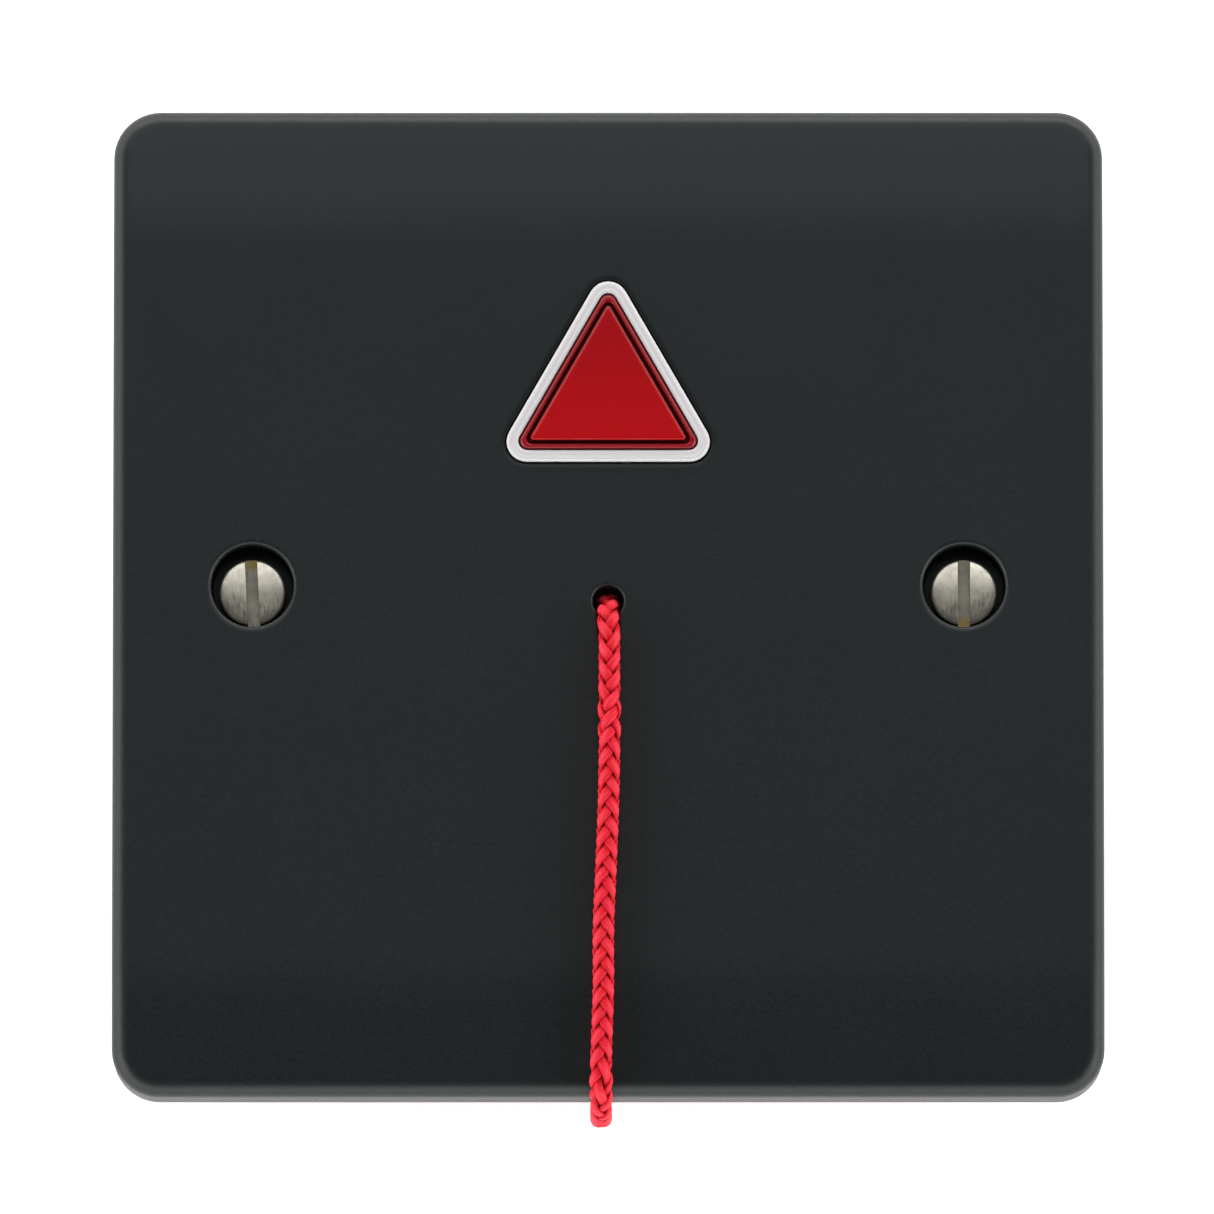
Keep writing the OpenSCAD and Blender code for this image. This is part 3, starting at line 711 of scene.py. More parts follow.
def cord_yarn(settings):
    """Twisted polypropylene yarns, braided. The filaments run along each yarn; painted shade lies deep
    between the yarns and a painted highlight on each crest.
    """
    material, tree, surface = shader("braided_polypropylene", IOR=1.49, Roughness=0.55,
                                     Specular_IOR_Level=0.16, Sheen_Weight=0.03, Sheen_Roughness=0.4,
                                     Subsurface_Weight=0.12, Subsurface_Scale=0.3 * MM)
    depth = add_node(tree, "ShaderNodeAttribute", {"attribute_name": "depth"})
    strand = add_node(tree, "ShaderNodeUVMap", {"uv_map": "strand"})
    stretch = add_node(tree, "ShaderNodeMapping", inputs={
        "Vector": strand.outputs["UV"], "Scale": (0.9, 16.0, 1.0)})
    fibre = add_node(tree, "ShaderNodeTexNoise", inputs={
        "Vector": stretch.outputs["Vector"], "Scale": 1.0, "Detail": 2.0})
    # painted shade: the yarns darken towards the gap colour where they lie deep
    base = shade_between(tree, depth.outputs["Fac"], rgba(settings.gap), rgba(settings.flank), 0.12, 0.62)
    # painted highlight: fibre noise breaks up the crest colour on top of each yarn
    crest_highlight = add_node(tree, "ShaderNodeMath", {"operation": "MULTIPLY_ADD"}, {
        0: fibre.outputs["Fac"], 1: 1.1, 2: -0.55})
    lifted = add_node(tree, "ShaderNodeMath", {"operation": "ADD"}, {
        0: depth.outputs["Fac"], 1: crest_highlight.outputs["Value"]})
    top = add_node(tree, "ShaderNodeMapRange", inputs={
        "Value": lifted.outputs["Value"], "From Min": 0.6, "From Max": 1.35})
    mixed = add_node(tree, "ShaderNodeMix", {"data_type": "RGBA"}, {
        0: top.outputs["Result"], 6: base, 7: rgba(settings.crest_highlight)})
    tree.links.new(mixed.outputs[2], surface.inputs["Base Color"])
    bump(tree, surface, fibre.outputs["Fac"], 0.05 * MM, 0.8)
    return material


def pull_plastic(settings):
    """Red polypropylene moulding with a slight sheen, scuffed by handling."""
    return moulded("red_polypropylene", settings.pull, 0.34, 0.6 * MM, 0.004 * MM, 0.07)


def table_acrylic(settings):
    """Opal acrylic table lit from below, faintly uneven. The glow lifts the shadows off it."""
    material, tree, surface = shader("opal_acrylic_table", Roughness=0.8, Emission_Strength=0.45,
                                     Emission_Color=(1, 1, 1, 1))
    cloud = grain(tree, 60 * MM)
    tint = shade_between(tree, cloud.outputs["Fac"], rgba(settings.floor, 0.985), rgba(settings.floor))
    tree.links.new(tint, surface.inputs["Base Color"])
    return material


def board_laminate(settings):
    """Glass-fibre laminate under solder mask. The weave shows faintly through the green."""
    material, tree, surface = shader("masked_glass_laminate", IOR=1.5, Coat_Weight=0.4,
                                     Coat_Roughness=0.15)
    weave = grain(tree, 0.35 * MM, (1, 4, 1), detail=1.0)
    cloud = grain(tree, 5 * MM)
    tint = shade_between(tree, weave.outputs["Fac"], rgba(settings.board, 0.85), rgba(settings.board, 1.15))
    tree.links.new(tint, surface.inputs["Base Color"])
    roughen(tree, surface, cloud.outputs["Fac"], 0.3, 0.4)
    bump(tree, surface, weave.outputs["Fac"], 0.004 * MM)
    return material


def banded(name, rgb, bands, axis_y, spacing, rough=0.4):
    """A dipped axial part with colour bands round it, evenly spaced along Y."""
    material, tree, surface = shader(name, IOR=1.5, Coat_Weight=0.3)
    place = add_node(tree, "ShaderNodeTexCoord")
    parts = add_node(tree, "ShaderNodeSeparateXYZ", inputs={"Vector": place.outputs["Object"]})
    cloud = grain(tree, 1.5 * MM)
    tint = shade_between(tree, cloud.outputs["Fac"], rgba(rgb, 0.92), rgba(rgb, 1.06))
    for k, code in enumerate(bands):
        middle = axis_y + (k - (len(bands) - 1) / 2) * spacing
        shifted = add_node(tree, "ShaderNodeMath", {"operation": "SUBTRACT"}, {
            0: parts.outputs["Y"], 1: middle})
        away = add_node(tree, "ShaderNodeMath", {"operation": "ABSOLUTE"}, {0: shifted.outputs["Value"]})
        inside = add_node(tree, "ShaderNodeMath", {"operation": "LESS_THAN"}, {
            0: away.outputs["Value"], 1: 0.27 * MM})
        tint = add_node(tree, "ShaderNodeMix", {"data_type": "RGBA"}, {
            0: inside.outputs["Value"], 6: tint, 7: rgba(linear(code))}).outputs[2]
    tree.links.new(tint, surface.inputs["Base Color"])
    roughen(tree, surface, cloud.outputs["Fac"], rough - 0.05, rough + 0.05)
    return material


def finishes(scene):
    """Every material of the switch, by the record's slot."""
    fixing, casing, cord = scene.switch_fixing, scene.switch_casing, scene.switch_cord
    return {
        "plate_moulding": plate_plastic(scene.switch_plate),
        "nickel_plate": nickel(fixing),
        # zinc-plated steel, barrel-plated: bluish, with soft patches
        "steel": metal("zinc_plated_steel", linear("#B4B9BE"), 0.32),
        "bezel_white": bezel_plastic(scene.switch_lamp),
        "lens_red": lens_plastic(scene.switch_lamp),
        # thermoplastic polyester, moulded: slightly warm white with an even satin
        "white_moulding": moulded("satin_white_polyester", casing.cover, 0.45, 0.3 * MM, 0.006 * MM,
                                  0.03),
        # unfilled nylon, moulded: milky, so light sinks into it a little
        "natural_nylon": moulded("natural_nylon", linear("#E2DDCD"), 0.38, 0.4 * MM, 0.004 * MM, 0.04,
                                 Subsurface_Weight=0.2, Subsurface_Scale=0.8 * MM),
        # diffused epoxy, cast: waxy and smooth
        "led_epoxy": moulded("diffused_red_epoxy", linear("#C9302C"), 0.2, 0.6 * MM, 0.001 * MM, 0.05,
                             Subsurface_Weight=0.3, Subsurface_Scale=0.6 * MM),
        "board_laminate": board_laminate(casing),
        # tan resin coat with four value bands
        "resistor_coat": banded("dipped_resistor_coat", linear("#CBB285"),
                                ("#7A4A1E", "#2B2B2B", "#C8681E", "#B08D3A"), AXIAL_Y * MM, 1.25 * MM),
        # moulded epoxy with a silver cathode band
        "black_epoxy": banded("moulded_black_epoxy", linear("#242528"), ("#B9BCC0",),
                              (AXIAL_Y + 1.7) * MM, 0, 0.35),
        # shrunk PVC sleeve: glossy, with a slight orange peel
        "capacitor_sleeve": moulded("shrunk_pvc_sleeve", linear("#1B2A55"), 0.25, 0.8 * MM, 0.008 * MM,
                                    0.08),
        # dip-tinned copper: bright, with flow marks
        "tinned_copper": metal("dip_tinned_copper", linear("#C6CACE"), 0.25, 0.4 * MM),
        # filled polyamide, moulded: cool grey and even, with a low sheen
        "terminal_grey": moulded("grey_polyamide", casing.terminal, 0.42, 0.3 * MM, 0.006 * MM, 0.05),
        # rolled brass, pressed: streaks along its length
        "brass": metal("pressed_brass", fixing.brass, 0.3, 0.15 * MM, (1, 8, 1)),
        # phenolic, pressed in a hot mould: dense and dark, a little cloudy
        "switch_black": moulded("black_phenolic", linear("#1D1E20"), 0.38, 0.25 * MM, 0.005 * MM, 0.08),
        "switch_grey": moulded("dark_grey_phenolic", linear("#34363A"), 0.4, 0.25 * MM, 0.005 * MM, 0.08),
        # acetal, moulded: slick, with sharp highlights
        "plunger_red": moulded("red_acetal", linear("#B3231F"), 0.3, 0.3 * MM, 0.002 * MM, 0.05),
        # hard-drawn steel: drawing lines along the strip
        "spring_steel": metal("drawn_spring_steel", linear("#A9ADB2"), 0.28, 0.1 * MM, (1, 10, 1)),
        "pull_red": pull_plastic(cord),
        # nylon tie: milky white, smooth
        "tie_white": moulded("white_nylon_tie", linear("#D2D2CC"), 0.35, 0.4 * MM, 0.003 * MM, 0.02,
                             Subsurface_Weight=0.15, Subsurface_Scale=0.5 * MM),
        "cord_red": cord_yarn(cord),
    }


MATERIALS = {}

# ---- geometry nodes ----


def node_group(name, inputs):
    """A new geometry tree with a shape in, a shape out and named inputs of (kind, default)."""
    tree = bpy.data.node_groups.new(name, "GeometryNodeTree")
    tree.interface.new_socket("Geometry", in_out="INPUT", socket_type="NodeSocketGeometry")
    for label, (kind, default) in inputs.items():
        socket = tree.interface.new_socket(label, in_out="INPUT", socket_type="NodeSocket" + kind)
        if default is not None:
            socket.default_value = default
    tree.interface.new_socket("Geometry", in_out="OUTPUT", socket_type="NodeSocketGeometry")
    entry = tree.nodes.new("NodeGroupInput")
    return tree, entry.outputs


def close_group(tree, shape, finish):
    """Ends a tree with real geometry in one material."""
    real = add_node(tree, "GeometryNodeRealizeInstances", inputs={"Geometry": shape})
    coated = add_node(tree, "GeometryNodeSetMaterial", inputs={
        "Geometry": real.outputs["Geometry"], "Material": finish})
    add_node(tree, "NodeGroupOutput", inputs={0: coated.outputs["Geometry"]})


def repeat_tree():
    """Puts a copy of a piece at every point, turned about Z by the point's own turn."""
    tree, given = node_group("repeat_at_sites", {
        "Piece": ("Object", None), "Size": ("Float", 1.0), "Finish": ("Material", None)})
    source = add_node(tree, "GeometryNodeObjectInfo", inputs={"Object": given["Piece"]})
    turn = add_node(tree, "GeometryNodeInputNamedAttribute", {"data_type": "FLOAT_VECTOR"},
                    {"Name": "turn"})
    copies = add_node(tree, "GeometryNodeInstanceOnPoints", inputs={
        "Points": given["Geometry"], "Instance": source.outputs["Geometry"],
        "Rotation": turn.outputs["Attribute"], "Scale": given["Size"]})
    close_group(tree, copies.outputs["Instances"], given["Finish"])
    return tree


def spring_tree():
    """Winds a wire into a helical spring on its axis."""
    tree, given = node_group("wound_spring", {
        "Turns": ("Float", 6.0), "Radius": ("Float", 3.2 * MM), "Height": ("Float", 9.4 * MM),
        "Wire": ("Float", 0.3 * MM), "Foot": ("Vector", (0.0, 0.0, 0.0)), "Finish": ("Material", None)})
    helix = add_node(tree, "GeometryNodeCurveSpiral", inputs={
        "Resolution": 40, "Rotations": given["Turns"], "Start Radius": given["Radius"],
        "End Radius": given["Radius"], "Height": given["Height"]})
    wire = add_node(tree, "GeometryNodeCurvePrimitiveCircle", inputs={
        "Resolution": 12, "Radius": given["Wire"]})
    wound = add_node(tree, "GeometryNodeCurveToMesh", inputs={
        "Curve": helix.outputs["Curve"], "Profile Curve": wire.outputs["Curve"], "Fill Caps": True})
    lifted = add_node(tree, "GeometryNodeTransform", inputs={
        "Geometry": wound.outputs["Mesh"], "Translation": given["Foot"]})
    close_group(tree, lifted.outputs["Geometry"], given["Finish"])
    return tree


def grown(piece, tree, values):
    """Runs a tree on a piece with the given inputs, and keeps the result as a plain mesh."""
    modifier = piece.modifiers.new("grow", "NODES")
    modifier.node_group = tree
    for item in tree.interface.items_tree:
        if item.item_type == "SOCKET" and item.in_out == "INPUT" and item.name in values:
            modifier[item.identifier] = values[item.name]
    return baked(piece)


def repeated(name, part, sites, slot, body, nodes, angle=35):
    """One piece made of a part repeated at sites of (x, y, z, turn about X, turn about Z)."""
    finish = MATERIALS[slot]
    pattern = built(name + "_pattern", part, finish, angle)
    mesh = bpy.data.meshes.new(name)
    mesh.from_pydata([s[:3] for s in sites], [], [])
    turns = np.array([(s[3], 0, s[4]) for s in sites], np.float32)
    mesh.attributes.new("turn", "FLOAT_VECTOR", "POINT").data.foreach_set("vector", turns.ravel())
    piece = link(name, mesh)
    grown(piece, repeat_tree(), {"Piece": pattern, "Size": 1.0, "Finish": finish})
    bpy.data.objects.remove(pattern)
    if "turn" in piece.data.attributes:
        piece.data.attributes.remove(piece.data.attributes["turn"])
    return placed(piece, body, slot, *nodes)


# ---- the stage ----


class SWITCH_OT_stage(bpy.types.Operator):
    """Makes the floor, the studio light and the camera"""
    bl_idname = "pull_switch.stage"
    bl_label = "Stage"

    def execute(self, context):
        scene = context.scene
        settings = scene.switch_stage
        scene.view_settings.view_transform = "Standard"
        camera = bpy.data.cameras.new("camera")
        camera.lens = settings.lens
        camera.clip_start = 0.05
        camera.clip_end = 20
        eye = bpy.data.objects.new("camera", camera)
        scene.collection.objects.link(eye)
        aim = Vector((-0.1 * MM, -0.05 * MM, FACE_Z - 4.6 * MM))
        back = Vector((0, -math.cos(settings.elevation), math.sin(settings.elevation)))
        eye.location = aim + back * settings.distance
        eye.rotation_euler = (-back).to_track_quat("-Z", "Y").to_euler()
        scene.camera = eye

        table = loft([circle(radius, 0, 96) for radius in (6.0, 0.5)], None, "cap")
        floor = built("floor", table, table_acrylic(settings))
        target = Vector((0, 0, FACE_Z))
        # name, place, width and height in metres, watts
        for name, place, size, power in (
                ("softbox", (0.0, 0.72, 1.32), (1.6, 0.86), 6.2),
                ("fill", (-1.3, -0.5, 0.75), (0.9, 0.6), 6.2),
                ("kicker", (1.3, -0.5, 0.75), (0.9, 0.6), 6.2),
                ("rim", (0.0, 1.4, 0.45), (1.6, 0.3), 4.0)):
            lamp = bpy.data.lights.new(name, "AREA")
            lamp.shape = "RECTANGLE"
            lamp.size, lamp.size_y = size
            lamp.energy = power
            light = bpy.data.objects.new(name, lamp)
            scene.collection.objects.link(light)
            light.location = place
            light.rotation_euler = (target - light.location).to_track_quat("-Z", "Y").to_euler()
        self.sky(scene)
        return {"FINISHED"}

    def sky(self, scene):
        """A studio that is bright low down all round and dim overhead."""
        world = bpy.data.worlds.new("studio")
        world.use_nodes = True
        scene.world = world
        tree = world.node_tree
        place = add_node(tree, "ShaderNodeTexCoord")
        parts = add_node(tree, "ShaderNodeSeparateXYZ", inputs={"Vector": place.outputs["Generated"]})
        ramp = add_node(tree, "ShaderNodeMapRange", {"interpolation_type": "SMOOTHSTEP"}, {
            "Value": parts.outputs["Z"], "From Min": 0.2, "From Max": 0.62, "To Min": 3.4, "To Max": 0.05})
        background = tree.nodes["Background"]
        background.inputs["Color"].default_value = (1, 1, 1, 1)
        tree.links.new(ramp.outputs["Result"], background.inputs["Strength"])


# ---- the cord and what is on it ----

# Route of the cord outside the plate, in millimetres: out of its hole, down the face, round the
# bottom edge and in under the plate
CORD_ROUTE = [
    (0, 0, 27.6), (0, -0.25, 28.4), (0, -0.8, 29.4), (0, -1.7, 30.3), (0.1, -2.9, 30.85),
    (0.1, -4.5, 31.02), (0.1, -8, 31.02), (0.1, -13, 31.02), (0, -18, 31.02), (-0.2, -23, 31.02),
    (-0.4, -28, 31.02), (-0.4, -32.5, 31.02), (-0.5, -36, 31.02), (-0.6, -39.15, 31.02),
    (-0.6, -40.7, 30.7), (-0.6, -42, 29.85), (-0.6, -42.85, 28.55), (-0.6, -43.15, 27),
    (-0.6, -43.15, 23.5), (-0.6, -43.1, 20.7), (-0.6, -42.8, 19.2), (-0.6, -41.95, 17.9),
    (-0.6, -40.6, 17), (-0.6, -39.1, 16.7), (-0.7, -37, 16.1), (-0.8, -33.5, 14.6), (-0.8, -30, 12.9),
    (-0.8, -27, 12),
]
# Route of its last stretch: off the bottom of the coil to the neck of the cord pull
TAIL_ROUTE = [
    (10, -38.5, 1.5), (6, -38.2, 1.3), (2, -37.4, 1.1), (-1.5, -35.8, 1.1),
    (-4.2, -33.5, 1.2), (-6.6, -31, 1.5), (-9.3, -29, 2), (-12, -28.1, 2.6), (-13, -28, 2.75),
]
COIL_COLUMNS = 3
COIL_TURNS = 17.75
COIL_PITCH = 2 * MM                 # between neighbouring turns: one diameter of the cord
BRAIDED_LENGTH = 84 * MM            # the cord outside the plate, drawn strand by strand
BRAID_TWISTS = ((8, 7), (40, 6))    # start and length of each quarter turn of the braid, in millimetres
PULL_NECK = Vector((-13, -28, 2.75)) * MM
PULL_TILT = math.atan(4.2 / 22)     # the pull lies on its neck and its skirt
KNOT_ALONG = 20.6 * MM              # the end knot's place on the pull's axis


def coil_place(turn):
    """Radius and height of one turn of the coil. The layers go out and in by turns."""
    turn = min(turn, math.ceil(COIL_TURNS) - 1)
    layer, column = divmod(turn, COIL_COLUMNS)
    if layer % 2:
        column = COIL_COLUMNS - 1 - column
    radius = COIL_HIGH.x - COIL_CENTRE.x - (column + 0.5) * COIL_PITCH
    return radius, COIL_HIGH.z - (layer + 0.5) * COIL_PITCH


def coil_points(steps=24):
    """The coil's points, clockwise from its -X side, top layer first."""
    points = []
    for k in range(1, int(COIL_TURNS * steps) + 1):
        turn, part = divmod(k / steps, 1)
        share = smoothstep((part - 0.85) / 0.15)
        places = zip(coil_place(int(turn)), coil_place(int(turn) + 1))
        radius, z = (a + (b - a) * share for a, b in places)
        angle = math.pi - TAU * k / steps
        points.append((COIL_CENTRE.x + radius * math.cos(angle),
                       COIL_CENTRE.y + radius * math.sin(angle), z))
    start = (COIL_CENTRE.x - coil_place(0)[0], COIL_CENTRE.y, coil_place(0)[1])
    return [start] + points


def pull_axis():
    """The cord pull's own frame: +Z runs from its neck to its skirt."""
    return at(*PULL_NECK) @ Matrix.Rotation(-math.pi / 2 + PULL_TILT, 4, "Y")


def knot_part(braid, radius, place):
    """A tight overhand knot about a point, as (part, depths, strand coordinates)."""
    t = np.linspace(0, TAU, 97)
    loop = np.stack([np.sin(t) + 2 * np.sin(2 * t), np.cos(t) - 2 * np.cos(2 * t),
                     -1.6 * np.sin(3 * t)], axis=1)
    loop *= (radius - braid.outer * 0.9) / 3
    loop = spaced(loop.tolist(), braid.step())
    (points, faces), depth, uv = braid.relief(loop, (0, 0, 1))
    points = [tuple(place @ Vector(p)) for p in points]
    return (points, faces), depth, uv


class SWITCH_OT_cord(bpy.types.Operator):
    """Makes the braided cord, its coil, its end knot and the tie that holds the coil"""
    bl_idname = "pull_switch.cord"
    bl_label = "Cord"

    def execute(self, context):
        settings = context.scene.switch_cord
        braid = Braid(settings)
        yarn = MATERIALS["cord_red"]
        outside = [Vector(p) * MM for p in CORD_ROUTE]
        tail = [Vector(p) * MM for p in TAIL_ROUTE]
        axis = pull_axis()
        inside = [axis @ Vector((0, 0, z * MM)) for z in (3, 8, 13, 18)]
        route = [tuple(p) for p in outside] + coil_points() + [tuple(p) for p in tail + inside]
        path = spaced(route, braid.step())
        steps = np.linalg.norm(np.diff(path, axis=0), axis=1)
        along = np.concatenate([[0], np.cumsum(steps)])
        braided = int(np.searchsorted(along, BRAIDED_LENGTH))
        fine = spaced(path[:braided + 1][::2].tolist(), 0.2 * MM)
        run = np.linspace(0, along[braided], len(fine))
        quarters = [0.5 + sum(smoothstep((s / MM - start) / span) for start, span in BRAID_TWISTS)
                    for s in run]
        twist = np.array(quarters) * math.pi / 2
        front = braid.strands(fine, (1, 0, 0), twist)
        wound = braid.relief(path[braided - 2:], (1, 0, 0))
        cord = cord_mesh("braided_cord", [front, wound], yarn)
        placed(cord, "base", "cord_red", "pull_cord", "cord_coil", "cord_tail")

        knot = cord_mesh("cord_end_knot", [knot_part(braid, 2.9 * MM, axis @ at(0, 0, KNOT_ALONG))], yarn)
        placed(knot, "base", "cord_red", "end_knot")
        pull = self.pull(axis)
        tie = self.tie()
        self.core(braid, yarn)
        return {"FINISHED"}

    def pull(self, axis):
        """The tapered cord pull, with three grip rings above its skirt"""
        wall = [(1.3, 0.4), (1.6, 0.1), (2.2, 0), (2.6, 0.15), (2.8, 0.6), (2.95, 2.6), (3.3, 5.2),
                (3.85, 8.2), (4.45, 11.2)]
        for z, r in ((12.6, 4.75), (14.6, 5.2), (16.6, 5.7)):
            wall += [(r, z), (r + 0.28, z + 0.35), (r + 0.34, z + 0.7), (r + 0.28, z + 1.05),
                     (r + 0.14, z + 1.4)]
        wall += [(6.4, 19.4), (6.85, 21.3), (7, 22.4), (6.98, 23.2), (6.75, 23.8), (6.3, 24), (4.2, 24),
                 (3.75, 23.8), (3.45, 23.3), (3.4, 22.6), (3.4, 18.4), (3.1, 18), (1.5, 18), (1.3, 17.7)]
        part = revolve([(r * MM, z * MM) for r, z in wall], 72, closed=True)
        piece = built("cord_pull_moulding", moved(part, axis), MATERIALS["pull_red"], 50)
        return placed(piece, "base", "pull_red", "cord_pull")

    def tie(self):
        """The nylon tie: a ribbed band round one side of the coil, its head and its free end"""
        low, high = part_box("coil_tie")
        y, half_w, thick, corner = (low.y + high.y) / 2, 1.9 * MM, 0.6 * MM, 1.2 * MM
        centres = [(high.x - corner, high.z - corner, 0), (low.x + corner, high.z - corner, 90),
                   (low.x + corner, low.z + corner, 180), (high.x - corner, low.z + corner, 270)]
        loop = [p for x, z, a in centres for p in arc(x, z, corner - thick / 2, a, a + 90, 6)]
        ridge = [(-half_w, 0), (-half_w + thick / 4, thick / 2), (half_w - thick / 4, thick / 2),
                 (half_w, 0), (half_w - thick / 4, -thick / 2), (-half_w + thick / 4, -thick / 2)]
        rings = []
        for i, (x, z) in enumerate(loop):
            before, after = loop[i - 1], loop[(i + 1) % len(loop)]
            run = Vector((after[0] - before[0], after[1] - before[1])).normalized()
            rings.append([(x + run.y * b, y + a, z - run.x * b) for a, b in ridge])
        band = loft(rings + [rings[0]])
        head_z = (low.z + high.z) / 2
        head = softened_box((high.x - 0.2 * MM, y - 2.6 * MM, head_z - 1.9 * MM),
                            (high.x + 3 * MM, y + 2.6 * MM, head_z + 1.9 * MM), 0.4 * MM)
        end = softened_box((high.x + 0.9 * MM, y - half_w, head_z + 1.5 * MM),
                           (high.x + 1.6 * MM, y + half_w, head_z + 9 * MM), 0.2 * MM)
        teeth = [softened_box((high.x + 1.5 * MM, y - half_w * 0.6, z),
                              (high.x + 1.75 * MM, y + half_w * 0.6, z + 0.3 * MM), 0.05 * MM)
                 for z in np.arange(head_z + 2.4 * MM, head_z + 8 * MM, 0.75 * MM)]
        piece = built("coil_tie_band", joined(band, head, end, *teeth), MATERIALS["tie_white"])
        return placed(piece, "base", "tie_white", "coil_tie")

    def core(self, braid, yarn):
        """The cord inside the casing, from the slider's pocket to the hole, and its inner knot"""
        low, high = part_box("cord_core")
        path = np.array([(0, 0, z) for z in np.arange(low.z, high.z - 0.1 * MM, 0.2 * MM)])
        part = braid.strands(path, (1, 0, 0), np.zeros(len(path)))
        core = cord_mesh("cord_inside", [part], yarn)
        placed(core, "base", "cord_red", "cord_core")
        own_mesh(core)
        low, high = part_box("inner_knot")
        centre = (low + high) / 2
        knot = cord_mesh("cord_inner_knot", [knot_part(braid, 2.7 * MM, at(*centre))], yarn)
        placed(knot, "pull", "cord_red", "inner_knot")


# ---- the front plate ----


def square_ring(half, corner, heights, arc_steps=12, side_steps=40):
    """A ring round the plate's outline. heights gives the height at (x, y)."""
    flat = half - corner
    middles = [Vector((x * flat, y * flat)) for x, y in ((1, 1), (-1, 1), (-1, -1), (1, -1))]
    ring = []
    for k, middle in enumerate(middles):
        for i in range(arc_steps + 1):
            a = math.pi / 2 * (k + i / arc_steps)
            ring.append((middle.x + corner * math.cos(a), middle.y + corner * math.sin(a)))
        a = math.pi / 2 * (k + 1)
        for i in range(1, side_steps):
            p = middle.lerp(middles[(k + 1) % 4], i / side_steps)
            ring.append((p.x + corner * math.cos(a), p.y + corner * math.sin(a)))
    return [(x, y, heights(x, y)) for x, y in ring]


def triangle_ring(side, corner, z, steps=8, straight=24):
    """A ring round the lamp: a triangle of corner centres a side apart, rounded by a corner radius."""
    low = -side / (2 * math.sqrt(3))
    centres = [(side / 2, low), (0, side / math.sqrt(3)), (-side / 2, low)]
    ring = []
    for k, (x, y) in enumerate(centres):
        for i in range(steps + 1):
            a = -math.pi / 2 + TAU / 3 * (k + i / steps)
            ring.append((x + corner * math.cos(a), LAMP_Y + y + corner * math.sin(a), z))
        nx, ny = centres[(k + 1) % 3]
        a = -math.pi / 2 + TAU / 3 * (k + 1)
        for i in range(1, straight):
            s = i / straight
            ring.append((x + (nx - x) * s + corner * math.cos(a),
                         LAMP_Y + y + (ny - y) * s + corner * math.sin(a), z))
    return ring


def inside_loop(x, y, loop):
    """Whether a point lies inside a closed loop."""
    inside = False
    for (x0, y0, *_), (x1, y1, *_) in zip(loop, loop[1:] + loop[:1]):
        if (y0 > y) != (y1 > y) and x < (x1 - x0) * (y - y0) / (y1 - y0) + x0:
            inside = not inside
    return inside


def sheet_with_holes(border, holes, height, spacing, clear):
    """Faces that fill a border round some holes, on a surface of the given height."""
    loops = [border] + holes
    points, edges = [], []
    for loop in loops:
        start = len(points)
        points += [Vector(p[:2]) for p in loop]
        edges += [(start + k, start + (k + 1) % len(loop)) for k in range(len(loop))]
    reach = max(p[0] for p in border)
    count = int(2 * reach / spacing)
    edge_points = np.array([tuple(p) for p in points])
    for i in range(1, count):
        for j in range(1, count):
            x, y = -reach + 2 * reach * i / count, -reach + 2 * reach * j / count
            if np.hypot(*(edge_points - (x, y)).T).min() < clear:
                continue
            if inside_loop(x, y, border) and not any(inside_loop(x, y, h) for h in holes):
                points.append(Vector((x, y)))
    flat, _, faces, _, _, _ = delaunay_2d_cdt(points, edges, [], 0, 1e-9)
    kept = []
    for face in faces:
        x = sum(flat[i].x for i in face) / len(face)
        y = sum(flat[i].y for i in face) / len(face)
        if not any(inside_loop(x, y, h) for h in holes) and inside_loop(x, y, border):
            kept.append(tuple(face))
    return [(p.x, p.y, height(p.x, p.y)) for p in flat], kept


